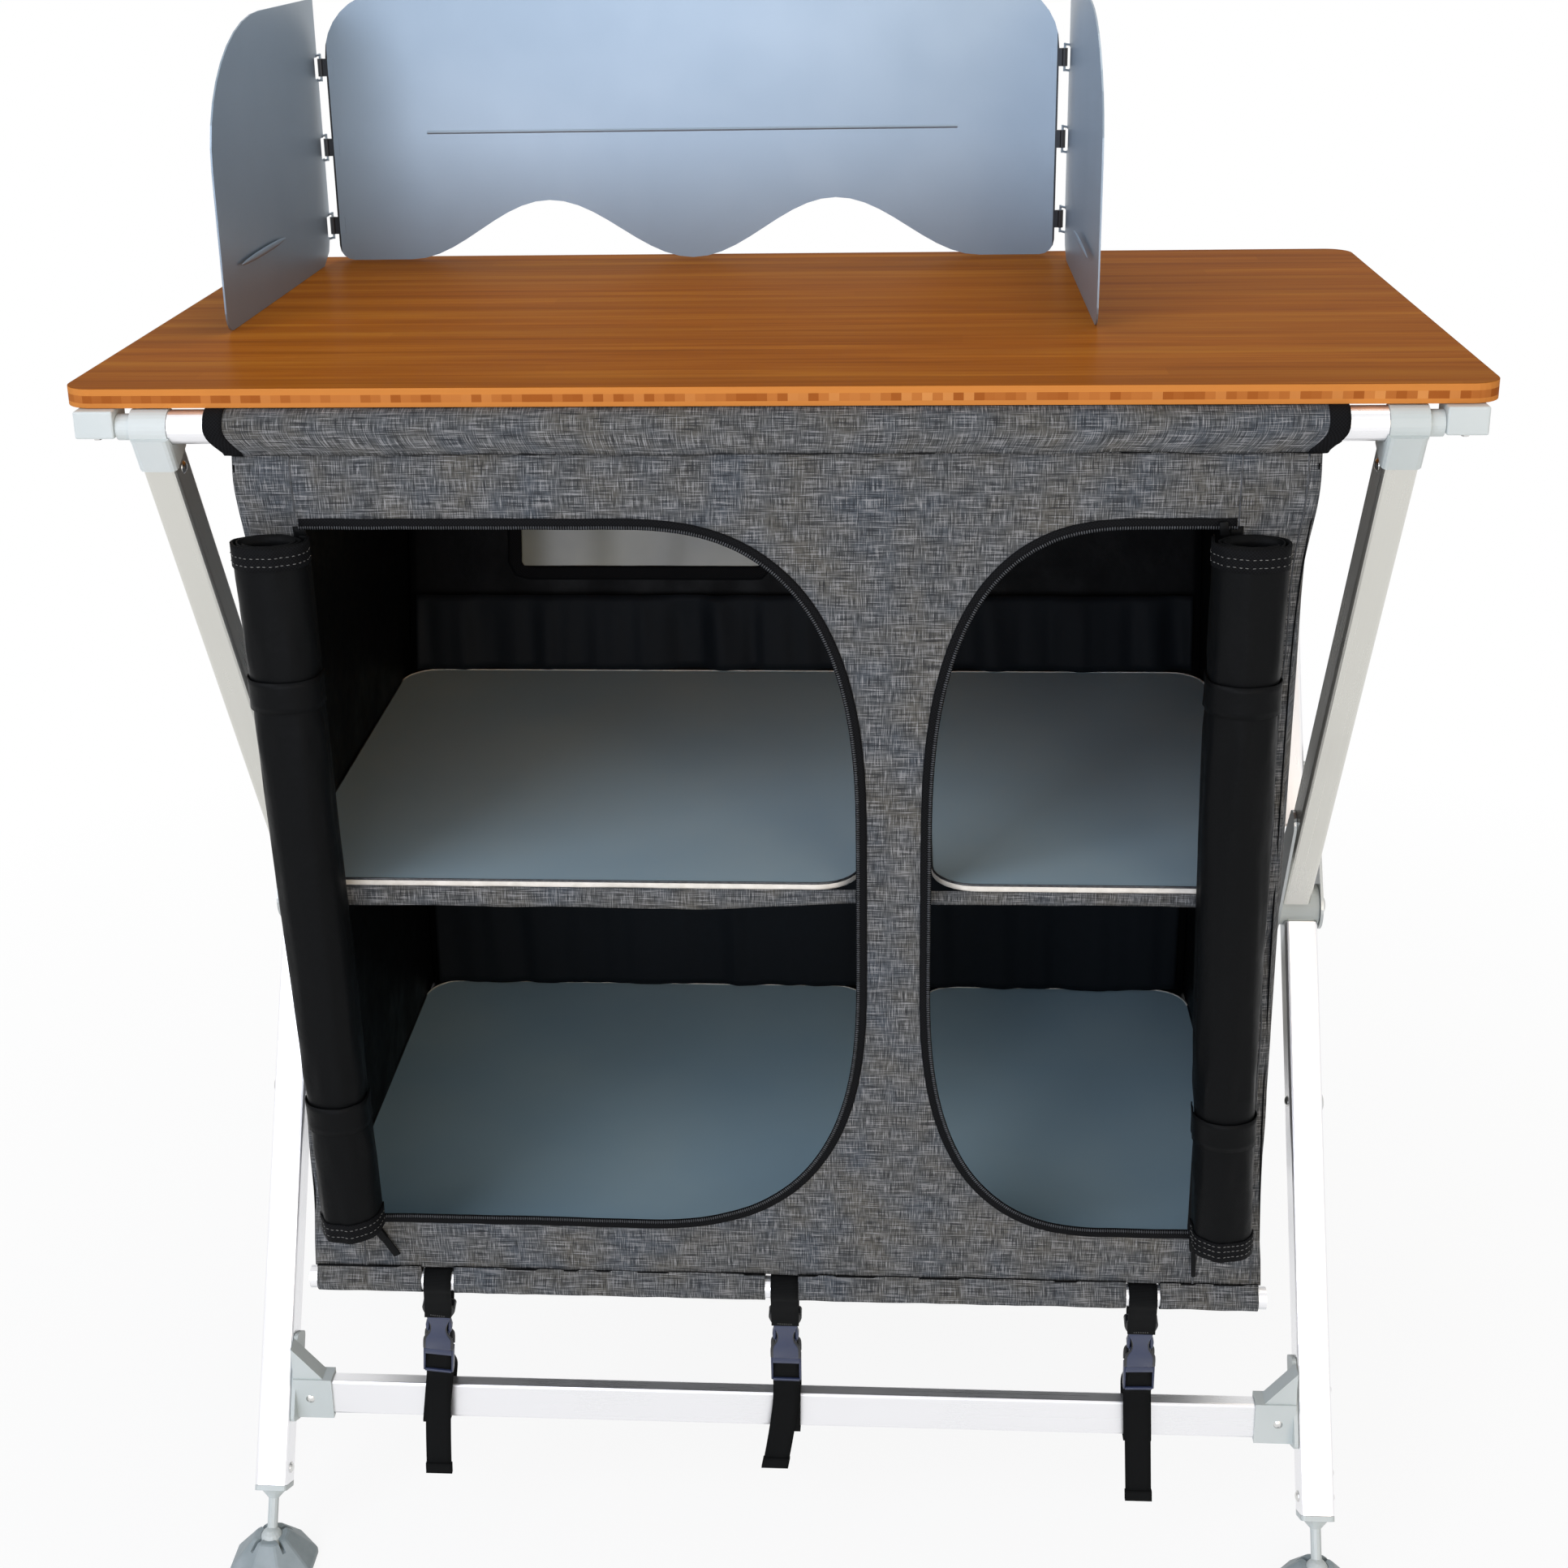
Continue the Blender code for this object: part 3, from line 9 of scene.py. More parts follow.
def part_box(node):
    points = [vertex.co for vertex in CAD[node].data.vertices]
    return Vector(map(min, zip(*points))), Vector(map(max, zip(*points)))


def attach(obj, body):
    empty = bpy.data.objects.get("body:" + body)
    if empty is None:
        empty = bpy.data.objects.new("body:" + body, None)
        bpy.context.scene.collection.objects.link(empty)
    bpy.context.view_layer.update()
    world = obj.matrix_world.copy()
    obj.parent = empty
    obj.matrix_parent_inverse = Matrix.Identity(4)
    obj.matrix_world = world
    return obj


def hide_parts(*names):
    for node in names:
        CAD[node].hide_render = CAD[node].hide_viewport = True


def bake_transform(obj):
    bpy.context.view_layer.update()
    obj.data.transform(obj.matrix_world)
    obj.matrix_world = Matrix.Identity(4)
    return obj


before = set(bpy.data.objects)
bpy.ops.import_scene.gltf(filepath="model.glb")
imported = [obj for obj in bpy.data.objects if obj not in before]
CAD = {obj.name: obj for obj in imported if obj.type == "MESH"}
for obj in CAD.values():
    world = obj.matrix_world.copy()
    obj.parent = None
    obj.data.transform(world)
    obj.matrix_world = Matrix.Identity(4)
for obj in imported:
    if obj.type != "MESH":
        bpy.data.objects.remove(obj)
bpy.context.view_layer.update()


# The photograph's view: a standing eye a little right of the middle, looking down on the worktop.
# The lens, the small shift and the roll give the photograph's own square frame.
EYE = Vector((0.07697, -1.57283, 1.23271))
EYE_YAW = 0.07036
EYE_PITCH = 0.33405
EYE_ROLL = -0.01996


def placed(name, data):
    """A new object in the scene."""
    thing = bpy.data.objects.new(name, data)
    bpy.context.scene.collection.objects.link(thing)
    return thing


turn = Matrix.Rotation(EYE_YAW, 3, "Z")
ahead = turn @ Vector((0, math.cos(EYE_PITCH), -math.sin(EYE_PITCH)))
level_up = turn @ Vector((0, math.sin(EYE_PITCH), math.cos(EYE_PITCH)))
level_right = turn @ Vector((1, 0, 0))
eye_right = math.cos(EYE_ROLL) * level_right + math.sin(EYE_ROLL) * level_up
eye_up = math.cos(EYE_ROLL) * level_up - math.sin(EYE_ROLL) * level_right
camera = placed("photo_camera", bpy.data.cameras.new("photo_camera"))
camera.matrix_world = Matrix.Translation(EYE) @ Matrix((eye_right, eye_up, -ahead)).transposed().to_4x4()
camera.data.sensor_width = 36.0
camera.data.lens = 50.478
camera.data.shift_x = 0.02538
camera.data.shift_y = -0.09627
bpy.context.scene.camera = camera
bpy.context.scene.view_settings.view_transform = "Standard"


# Studio: a pale floor that shows white to the camera and keeps a soft shadow, and an even pale world.
# Large soft lamps stand round the unit: cool ones at the upper left and front, a warm one at the right.
def linear(code):
    """An sRGB hex value as a linear colour."""
    parts = [int(code[index:index + 2], 16) / 255 for index in (1, 3, 5)]
    return (*(part / 12.92 if part <= 0.04045 else ((part + 0.055) / 1.055) ** 2.4 for part in parts), 1.0)


def add(tree, kind, sockets=None, stops=(), feeds=None, **settings):
    """One shader node: its settings, inputs set or linked, a ramp's stops and the input that it feeds."""
    node = tree.nodes.new("ShaderNode" + kind)
    for name, value in settings.items():
        setattr(node, name, value)
    for name, value in (sockets or {}).items():
        if isinstance(value, bpy.types.NodeSocket):
            tree.links.new(value, node.inputs[name])
        else:
            node.inputs[name].default_value = value
    for count, (position, code) in enumerate(stops):
        bands = node.color_ramp.elements
        band = bands[count] if count < 2 else bands.new(position)
        band.position, band.color = position, linear(code)
    out = next(socket for socket in node.outputs if socket.enabled)
    if feeds is not None:
        tree.links.new(out, feeds)
    return out


def new_finish(name, colour, roughness, metallic=0.0, specular=0.5):
    """A finish, its node tree, its shader's inputs with these values set, and its Object coordinates."""
    finish = bpy.data.materials.new(name)
    finish.use_nodes = True
    tree = finish.node_tree
    shader = tree.nodes["Principled BSDF"].inputs
    shader["Base Color"].default_value = linear(colour)
    shader["Roughness"].default_value = roughness
    shader["Metallic"].default_value = metallic
    shader["Specular IOR Level"].default_value = specular
    return finish, tree, shader, add(tree, "TexCoord").node.outputs["Object"]


def background_ray(tree):
    """1 for a ray that sees the white background: from the camera, off a shiny piece or through the film."""
    rays = add(tree, "LightPath").node.outputs
    glossy, through = rays["Is Glossy Ray"], rays["Is Transmission Ray"]
    mirrored = add(tree, "Math", {0: glossy, 1: through}, operation="MAXIMUM")
    return add(tree, "Math", {0: rays["Is Camera Ray"], 1: mirrored}, operation="MAXIMUM")


paper, tree, shader, place = new_finish("white_paper_floor", "#F6F6F6", 0.95)
matt = tree.nodes["Principled BSDF"].outputs[0]
glow = add(tree, "Emission", {"Color": linear("#FFFFFF"), "Strength": 1.0})
length = add(tree, "VectorMath", {0: place}, operation="LENGTH")
far = add(tree, "MapRange", {"Value": length, "From Min": 0.5, "From Max": 1.6, "To Min": 0.9})
share = add(tree, "Math", {0: far, 1: background_ray(tree)}, operation="MULTIPLY")
surface = tree.nodes["Material Output"].inputs["Surface"]
add(tree, "MixShader", {0: share, 1: matt, 2: glow}, feeds=surface)
shape = bmesh.new()
bmesh.ops.create_circle(shape, cap_ends=True, segments=64, radius=40)
floor_mesh = bpy.data.meshes.new("studio_floor")
shape.to_mesh(floor_mesh)
shape.free()
floor_mesh.materials.append(paper)
floor = placed("studio_floor", floor_mesh)

studio = bpy.data.worlds.new("studio_air")
bpy.context.scene.world = studio
studio.use_nodes = True
air = studio.node_tree
around = air.nodes["Background"]
around.inputs["Color"].default_value = linear("#EDF1F7")
around.inputs["Strength"].default_value = 0.38
backdrop = add(air, "Background", {"Color": linear("#FFFFFF"), "Strength": 1.0})
surface = air.nodes["World Output"].inputs["Surface"]
add(air, "MixShader", {0: background_ray(air), 1: around.outputs[0], 2: backdrop}, feeds=surface)

for name, spot, wide, power, colour in (
    ("upper_left_lamp", (-1.9, -2.3, 2.6), 1.8, 42, "#EBF0FF"),
    ("right_lamp", (1.5, -3.2, 1.5), 1.6, 24, "#FFE8CC"),
    ("front_lamp", (-0.5, -3.6, 1.0), 1.6, 40, "#EAF0FF"),
    ("overhead_lamp", (0.3, 0.5, 3.5), 1.8, 26, "#FFF6EA"),
):
    lamp = placed(name, bpy.data.lights.new(name, "AREA"))
    lamp.data.shape = "SQUARE"
    lamp.data.size, lamp.data.energy = wide, power
    lamp.data.color = linear(colour)[:3]
    look = Vector((0, 0, 0.7)) - Vector(spot)
    lamp.matrix_world = Matrix.Translation(spot) @ look.to_track_quat("-Z", "Y").to_matrix().to_4x4()


# Legs: two crossed pairs of drawn aluminium box tube a side, cut to length and anodised satin silver.
# The die leaves fine lines along each tube, which stretch the highlights.
# The Object coordinates lean with neither pair, so each pair has its own finish, and the two colours carry
# painted light: paler on the pair leaning back, whose faces turn up to the light, and darker and warmer, as
# painted shade, on the pair leaning forward.
LEAN = math.radians(28.924)


def silver(name, colour, tilt=0.0, line=(0.0009, 0.0009, 0.30)):
    """Anodised aluminium with die lines, each of this size along X, Y and Z, tilted about X with its tube."""
    finish, tree, shader, place = new_finish(name, colour, 0.3, 0.9)
    along = {"Vector": place, "Rotation": (tilt, 0, 0), "Scale": line}
    flat = add(tree, "Mapping", along, vector_type="TEXTURE")
    lines = add(tree, "TexNoise", {"Vector": flat, "Scale": 1.0, "Detail": 3.0})
    broad = add(tree, "TexNoise", {"Vector": place, "Scale": 14.0, "Detail": 2.0})
    both = add(tree, "Math", {0: lines, 1: broad}, operation="MULTIPLY")
    worn = {"Value": both, "From Min": 0.1, "From Max": 0.45, "To Min": 0.24, "To Max": 0.4}
    add(tree, "MapRange", worn, feeds=shader["Roughness"])
    add(tree, "Bump", {"Height": lines, "Distance": 0.00008, "Strength": 0.5}, feeds=shader["Normal"])
    return finish


def dressed(finish, *starts):
    """Gives a finish to every CAD node whose name begins with one of these words."""
    for name, node in CAD.items():
        if name.startswith(starts):
            for count in range(len(node.data.materials)):
                node.data.materials[count] = finish


# Painted light: the pair leaning back is painted paler, and the pair leaning forward darker and warmer, as
# painted shade.
dressed(silver("anodised_leg_back_leaning_painted_light", "#F1F1F3", -LEAN), "leg_front_lower", "leg_rear_upper")
dressed(silver("anodised_leg_front_leaning_painted_shade", "#D6D5CE", LEAN), "leg_front_upper", "leg_rear_lower")


def noisy(made, mottle=(), wear=(), depth=0.0):
    """A new finish with fine noise on it, which mottles its colour, and wears its shine with low bumps.

    Mottle is the noise's scale and detail and two colours, and wear its scale and detail and the least and
    most roughness.
    """
    finish, tree, shader, place = made
    if mottle:
        scale, detail, first, last = mottle
        cloud = add(tree, "TexNoise", {"Vector": place, "Scale": scale, "Detail": detail})
        add(tree, "ValToRGB", {"Fac": cloud}, [(0.3, first), (0.7, last)], shader["Base Color"])
    if wear:
        scale, detail, least, most = wear
        speck = add(tree, "TexNoise", {"Vector": place, "Scale": scale, "Detail": detail})
        add(tree, "MapRange", {"Value": speck, "To Min": least, "To Max": most}, feeds=shader["Roughness"])
    if depth:
        add(tree, "Bump", {"Height": speck, "Distance": depth, "Strength": 0.4}, feeds=shader["Normal"])
    return finish


# Rivets and screws are bright nickel-plated steel, with a domed head spun on a round flange.
# Scuffs about a millimetre long break up their sharp highlights.
nickel = noisy(new_finish("nickel_plated_steel", "#D8D8D6", 0.2, 1.0), wear=(900.0, 3.0, 0.12, 0.34))


def shown(name, shape, finishes=(), body=None, smooth=True):
    """Makes a bmesh a piece of the unit, with its finishes and the CAD body that it moves with."""
    mesh = bpy.data.meshes.new(name)
    shape.to_mesh(mesh)
    shape.free()
    for finish in finishes:
        mesh.materials.append(finish)
    mesh.polygons.foreach_set("use_smooth", [smooth] * len(mesh.polygons))
    piece = placed(name, mesh)
    if body:
        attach(piece, body)
    return piece


def turned(shape, profile, spot, direction, steps=20):
    """Spins a profile of (radius, height) points, closed at its poles, about a direction at a spot."""
    spun = bmesh.new()
    verts = [spun.verts.new((radius, 0, height)) for radius, height in profile]
    edges = [spun.edges.new(pair) for pair in zip(verts, verts[1:])]
    bmesh.ops.spin(
        spun, geom=verts + edges, cent=(0, 0, 0), axis=(0, 0, 1), angle=math.tau, steps=steps, use_merge=True
    )
    bmesh.ops.remove_doubles(spun, verts=spun.verts, dist=0.00001)
    bmesh.ops.recalc_face_normals(spun, faces=spun.faces)
    facing = Vector(direction).to_track_quat("Z", "Y").to_matrix().to_4x4()
    spun.transform(Matrix.Translation(spot) @ facing)
    passed = bpy.data.meshes.new("passed")
    spun.to_mesh(passed)
    spun.free()
    shape.from_mesh(passed)
    bpy.data.meshes.remove(passed)


def rivet(shape, spot, direction, radius=0.0042, height=0.0021):
    """A domed rivet head with a thin flange, set on a face at a spot."""
    profile = [(0, height)]
    for step in (22, 44, 66, 90):
        bend = math.radians(step)
        profile.append((radius * 0.86 * math.sin(bend), height * (0.25 + 0.75 * math.cos(bend))))
    profile += [(radius, height * 0.2), (radius, -0.0003), (0, -0.0003)]
    turned(shape, profile, spot, direction)


def screw(shape, spot, direction, radius=0.0030):
    """A pan head screw with a round recess."""
    profile = [
        (0, 0.0005), (radius * 0.35, 0.0006), (radius * 0.42, 0.0019), (radius * 0.8, 0.0017),
        (radius, 0.0008), (radius, -0.0003), (0, -0.0003),
    ]
    turned(shape, profile, spot, direction)


for body, spots in (
    ("frame_a", (  # from the middle, depth, height, which way it faces, radius
        (0.4095, -0.0605, 0.324, 1, 0.0080), (0.3845, -0.0605, 0.324, -1, 0.0042),
        (0.4095, -0.2015, 0.0700, 1, 0.0042), (0.3845, -0.2015, 0.0700, -1, 0.0042),
        (0.4095, -0.1930, 0.0855, 1, 0.0042), (0.4095, -0.1640, 0.138, 1, 0.0042),
        (0.4025, 0.2430, 0.874, 1, 0.0042), (0.3805, 0.2430, 0.874, -1, 0.0042),
    )),
    ("frame_b", (
        (0.3777, 0.2268, 0.0700, 1, 0.0042), (0.3527, 0.2268, 0.0700, -1, 0.0042),
        (0.3777, 0.1880, 0.1400, 1, 0.0042), (0.4025, -0.2178, 0.874, 1, 0.0042),
        (0.3805, -0.2178, 0.874, -1, 0.0042),
    )),
):
    heads = bmesh.new()
    for side in (-1, 1):
        for reach, y, z, way, radius in spots:
            rivet(heads, (side * reach, y, z), (side * way, 0, 0), radius, 0.0015 + radius / 7)
    shown(f"leg_rivets_{body[-1]}", heads, [nickel], body)


# Moulded parts of the frame: the corners, bearing collars, end blocks, catches, hub blocks, rail brackets
# and foot stems, in glass-filled nylon of a pale grey-green.
# The mould leaves a faint orange-peel, 0.7 mm from crest to crest, which softens the shine.
nylon = noisy(
    new_finish("moulded_nylon", "#C2CAC7", 0.42),
    (9.0, 2.0, "#C3CBC8", "#D2D8D5"), (1400.0, 2.0, 0.36, 0.5), 0.00005,
)
dressed(nylon, "corner_", "bearing_collar", "end_block", "rear_catch", "hub_block", "rail_bracket")
dressed(nylon, "foot_stem")

# The feet have a nylon finish of their own, darker and a little rougher than the other mouldings.
# Scuffed patches about 17 mm across leave them uneven and dull.
foot_nylon = noisy(new_finish("foot_nylon", "#97A2A4", 0.5), (60.0, 4.0, "#8D999B", "#A3ADAF"))
dressed(foot_nylon, "foot_pad")

# Hub plates: pressed aluminium strips that hold the crossed legs, with a large rivet at the pivot.
# Brushing leaves lines up and down each plate, 1.2 mm apart, which spread its highlights.
plate_metal, tree, shader, place = new_finish("pressed_aluminium_plate", "#B9BDBD", 0.36, 0.9)
brushed = add(tree, "Mapping", {"Vector": place, "Scale": (0.01, 0.0012, 0.02)}, vector_type="TEXTURE")
lines = add(tree, "TexNoise", {"Vector": brushed, "Scale": 1.0, "Detail": 4.0})
add(tree, "MapRange", {"Value": lines, "To Min": 0.28, "To Max": 0.48}, feeds=shader["Roughness"])
dressed(plate_metal, "hub_plate")

HUB_Y, HUB_Z = 0.01261, 0.4571
for side, word in ((-1, "left"), (1, "right")):
    heads = bmesh.new()
    rivet(heads, (side * 0.4153, HUB_Y, HUB_Z), (side, 0, 0), 0.0070, 0.0028)
    for along in (0.058, 0.092):
        spot = (side * 0.4048, HUB_Y + along * math.sin(LEAN), HUB_Z + along * math.cos(LEAN))
        rivet(heads, spot, (side, 0, 0))
    shown(f"hub_pivot_rivets_{word}", heads, [nickel], "frame_a")


# Rails: flat aluminium tube across the feet of each pair of legs, pushed into moulded brackets and riveted.
# The die lines run across the unit here, and on the round top tubes and the hem tube.
rail_silver = silver("anodised_rail", "#F2F2F4", line=(0.30, 0.0009, 0.0009))
dressed(rail_silver, "rail_front", "rail_rear", "top_tube", "hem_tube")
for body, y, x, way in (("frame_a", -0.1802, 0.3700, -1), ("frame_b", 0.2054, 0.3382, 1)):
    heads = bmesh.new()
    for side in (-1, 1):
        rivet(heads, (side * x, y + way * 0.0021, 0.119), (0, way, 0), 0.0034, 0.0016)
    shown(f"rail_rivets_{body[-1]}", heads, [nickel], body)

# Pan head screws of the same plated steel hold the end blocks to the worktop.
# They also close the bearing collars and hold the rear catches.
heads = bmesh.new()
for side in (-1, 1):
    for y in (-0.2385, -0.2257):
        screw(heads, (side * 0.4270, y, 0.8993), (0, 0, -1))
    screw(heads, (side * 0.4397, -0.2321, 0.9082), (side, 0, 0))
    screw(heads, (side * 0.3686, 0.2565, 0.8970), (0, 0, -1))
shown("worktop_screws", heads, [nickel], "worktop")


# Worktop: carbonised bamboo board pressed from three layers, cut to shape, rounded and lacquered.
# The faces show fibres and 21 mm strips joined every 620 mm, and the edge shows the cross-laid middle layer.
BOARD_BASE = 0.9175
BOARD_TOP = 0.930
LAYER_BASE = BOARD_BASE + 0.0032
LAYER_TOP = BOARD_TOP - 0.0044

bamboo, tree, shader, place = new_finish("lacquered_bamboo", "#B06E30", 0.3, specular=0.002)
apart = add(tree, "SeparateXYZ", {0: place}).node.outputs
strip_size = add(tree, "Math", {0: apart["Y"], 1: 0.021}, operation="DIVIDE")
strip = add(tree, "Math", {0: strip_size}, operation="FLOOR")
shifted = add(tree, "Math", {0: strip, 1: 0.397, 2: apart["X"]}, operation="MULTIPLY_ADD")
length_size = add(tree, "Math", {0: shifted, 1: 0.62}, operation="DIVIDE")
joint = add(tree, "Math", {0: length_size}, operation="FLOOR")
lath = add(tree, "CombineXYZ", {0: strip, 1: joint})
tone = add(tree, "TexWhiteNoise", {"Vector": lath}, noise_dimensions="2D")
drawn = add(tree, "Mapping", {"Vector": place, "Scale": (0.11, 0.0016, 0.0016)}, vector_type="TEXTURE")
fibre = add(tree, "TexNoise", {"Vector": drawn, "Scale": 1.0, "Detail": 6.0, "Roughness": 0.66})
wide = add(tree, "Mapping", {"Vector": place, "Scale": (0.34, 0.012, 0.012)}, vector_type="TEXTURE")
band = add(tree, "TexNoise", {"Vector": wide, "Scale": 1.0, "Detail": 4.0, "Roughness": 0.6})
fine = add(tree, "ValToRGB", {"Fac": fibre}, [(0.3, "#804312"), (0.5, "#9F5A1A"), (0.72, "#BB7628")])
broad = add(tree, "ValToRGB", {"Fac": band}, [(0.34, "#78400F"), (0.5, "#A15C1B"), (0.66, "#BF7E2C")])
face = add(tree, "Mix", {0: 0.5, 6: fine, 7: broad}, data_type="RGBA")
weight = add(tree, "MapRange", {"Value": tone, "To Max": 0.42})
face = add(tree, "Mix", {0: weight, 6: face, 7: linear("#8A4E18")}, data_type="RGBA")
block_size = add(tree, "Math", {0: apart["X"], 1: 0.0064}, operation="DIVIDE")
block = add(tree, "Math", {0: block_size}, operation="FLOOR")
block_tone = add(tree, "TexWhiteNoise", {"W": block}, noise_dimensions="1D")
patch = add(tree, "TexNoise", {"Vector": place, "Scale": 5.0, "Detail": 2.0})
uneven = add(tree, "Math", {0: block_tone, 1: patch}, operation="MULTIPLY")
core = add(tree, "ValToRGB", {"Fac": uneven}, [(0.05, "#A25A26"), (0.3, "#C0763A"), (0.55, "#D48E4E")])
above = add(tree, "Math", {0: apart["Z"], 1: LAYER_BASE}, operation="GREATER_THAN")
below = add(tree, "Math", {0: apart["Z"], 1: LAYER_TOP}, operation="LESS_THAN")
middle = add(tree, "Math", {0: above, 1: below}, operation="MULTIPLY")
top_face = add(tree, "Math", {0: apart["Z"], 1: BOARD_TOP - 0.0002}, operation="GREATER_THAN")
rim = add(tree, "Mix", {0: 0.8, 6: face, 7: linear("#D88C46")}, data_type="RGBA")
skin = add(tree, "Mix", {0: top_face, 6: rim, 7: face}, data_type="RGBA")
add(tree, "Mix", {0: middle, 6: skin, 7: core}, feeds=shader["Base Color"], data_type="RGBA")
add(tree, "MapRange", {"Value": fibre, "To Min": 0.26, "To Max": 0.42}, feeds=shader["Roughness"])
add(tree, "Bump", {"Height": fibre, "Distance": 0.00012, "Strength": 0.35}, feeds=shader["Normal"])
dressed(bamboo, "worktop")


# Windshield: three sheets of aluminium with a satin blue-grey lacquer, hung together by small spring clips.
# The clips are dark spring steel, and the wings have a short pressed rib that shows on their inner face.
# A grain of 0.4 mm gives the lacquer its satin shine, with faint clouds 170 mm across.
CENTRE_X = -0.087
CLIPS_FROM = 0.2950


def lacquered(name, clips_from):
    """Satin lacquer on sheet metal, with dark spring steel beyond a distance from the centre's middle."""
    finish, tree, shader, place = new_finish(name, "#8796A3", 0.38, 0.5)
    mist = add(tree, "TexNoise", {"Vector": place, "Scale": 2600.0, "Detail": 2.0})
    cloud = add(tree, "TexNoise", {"Vector": place, "Scale": 6.0, "Detail": 3.0})
    tone = add(tree, "ValToRGB", {"Fac": cloud}, [(0.35, "#8393A1"), (0.65, "#8E9DAA")])
    across = add(tree, "SeparateXYZ", {0: place}).node.outputs["X"]
    moved = add(tree, "Math", {0: across, 1: -CENTRE_X}, operation="ADD")
    reach = add(tree, "Math", {0: moved}, operation="ABSOLUTE")
    clip = add(tree, "Math", {0: reach, 1: clips_from}, operation="GREATER_THAN")
    steel = linear("#25282C")
    add(tree, "Mix", {0: clip, 6: tone, 7: steel}, feeds=shader["Base Color"], data_type="RGBA")
    add(tree, "MapRange", {"Value": mist, "To Min": 0.3, "To Max": 0.44}, feeds=shader["Roughness"])
    add(tree, "Bump", {"Height": mist, "Distance": 0.00004, "Strength": 0.3}, feeds=shader["Normal"])
    return finish


satin = lacquered("satin_lacquered_wing", 9.0)
dressed(satin, "windshield_wing")
dressed(lacquered("satin_lacquered_centre", CLIPS_FROM), "windshield_centre")
for word, way in (("left", 1), ("right", -1)):
    low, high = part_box(f"windshield_wing_{word}")
    inner = Vector((high.x if way > 0 else low.x, 0.034, 0.9725))
    press = Matrix.Translation(inner) @ Matrix.Diagonal((0.0007, 0.060, 0.0026, 1))
    rib = bmesh.new()
    bmesh.ops.create_uvsphere(rib, u_segments=24, v_segments=16, radius=1.0, matrix=press)
    shown(f"wing_rib_{word}", rib, [satin], f"wing_{word}")


# Cupboard cloth: polyester canvas woven from heathered yarn, coated black inside.
# Its light and dark yarns make short dashes both ways, 19 and 11 mm long and 0.7 mm wide.
CLOTH = 0.0010
PANEL_TOP = 0.8885
PANEL_BASE = 0.2760
PANEL_HALF = 0.341

canvas, tree, shader, place = new_finish("heathered_canvas", "#636567", 0.85, specular=0.1)
flat = add(tree, "UVMap", uv_map="cut")
yarns = []
for size, offset in (((0.019, 0.00075, 1), (0, 0, 0)), ((0.0007, 0.011, 1), (3.1, 1.7, 0))):
    drawn = add(tree, "Mapping", {"Vector": flat, "Location": offset, "Scale": size}, vector_type="TEXTURE")
    yarns.append(add(tree, "TexNoise", {"Vector": drawn, "Scale": 1.0, "Detail": 1.5}, noise_dimensions="2D"))
patch = add(tree, "TexNoise", {"Vector": flat, "Scale": 24.0, "Detail": 3.0}, noise_dimensions="2D")
ground = add(tree, "ValToRGB", {"Fac": patch}, [(0.3, "#50555A"), (0.7, "#5C5A54")])
upper = add(tree, "Math", {0: yarns[0], 1: yarns[1]}, operation="MAXIMUM")
lower = add(tree, "Math", {0: yarns[0], 1: yarns[1]}, operation="MINIMUM")
pale = add(tree, "MapRange", {"Value": upper, "From Min": 0.56, "From Max": 0.78, "To Max": 0.75})
deep = add(tree, "MapRange", {"Value": lower, "From Min": 0.46, "From Max": 0.27, "To Max": 0.8})
colour = add(tree, "Mix", {0: pale, 6: ground, 7: linear("#A3A3A3")}, data_type="RGBA")
add(tree, "Mix", {0: deep, 6: colour, 7: linear("#1E2024")}, feeds=shader["Base Color"], data_type="RGBA")
both = add(tree, "Math", {0: yarns[0], 1: yarns[1]}, operation="ADD")
add(tree, "Bump", {"Height": both, "Distance": 0.0004, "Strength": 0.6}, feeds=shader["Normal"])

# The inside of the cloth and the doors are the same canvas with a smooth black coat.
# Creases about 40 mm apart and a faint weave of 0.9 mm make its soft shine uneven.
coated, tree, shader, place = new_finish("black_coated_canvas", "#0A0B0C", 0.46, specular=0.07)
flat = add(tree, "UVMap", uv_map="cut")
weave = add(tree, "TexChecker", {"Vector": flat, "Scale": 1100.0}).node.outputs["Fac"]
crease = add(tree, "TexNoise", {"Vector": place, "Scale": 26.0, "Detail": 4.0, "Roughness": 0.6})
worn = {"Value": crease, "From Min": 0.3, "From Max": 0.7, "To Min": 0.36, "To Max": 0.58}
add(tree, "MapRange", worn, feeds=shader["Roughness"])
height = add(tree, "Math", {0: weave, 1: 0.06, 2: crease}, operation="MULTIPLY_ADD")
add(tree, "Bump", {"Height": height, "Distance": 0.0022, "Strength": 0.55}, feeds=shader["Normal"])

# Narrow woven tape in black, for bindings and for the zips, with ribs 1.1 mm apart.
tape, tree, shader, place = new_finish("black_woven_tape", "#0A0B0C", 0.72, specular=0.08)
flat = add(tree, "UVMap", uv_map="cut")
rows = add(tree, "Mapping", {"Vector": flat, "Scale": (0.0011, 0.0011, 1)}, vector_type="TEXTURE")
ribs = add(tree, "TexChecker", {"Vector": rows, "Scale": 1.0}).node.outputs["Fac"]
add(tree, "ValToRGB", {"Fac": ribs}, [(0.0, "#060607"), (1.0, "#121315")], shader["Base Color"])
add(tree, "Bump", {"Height": ribs, "Distance": 0.0002, "Strength": 0.5}, feeds=shader["Normal"])


def follow(points):
    """A line through points as its length and a function of the distance along it: place and direction."""
    points = [Vector(point) for point in points]
    marks = [0.0]
    for start, end in zip(points, points[1:]):
        marks.append(marks[-1] + (end - start).length)

    def at(distance):
        distance = min(max(distance, 0.0), marks[-1])
        low = min(bisect_right(marks, distance) - 1, len(marks) - 2)
        start, end = points[low], points[low + 1]
        share = (distance - marks[low]) / (marks[low + 1] - marks[low])
        return start.lerp(end, share), (end - start).normalized()

    return marks[-1], at


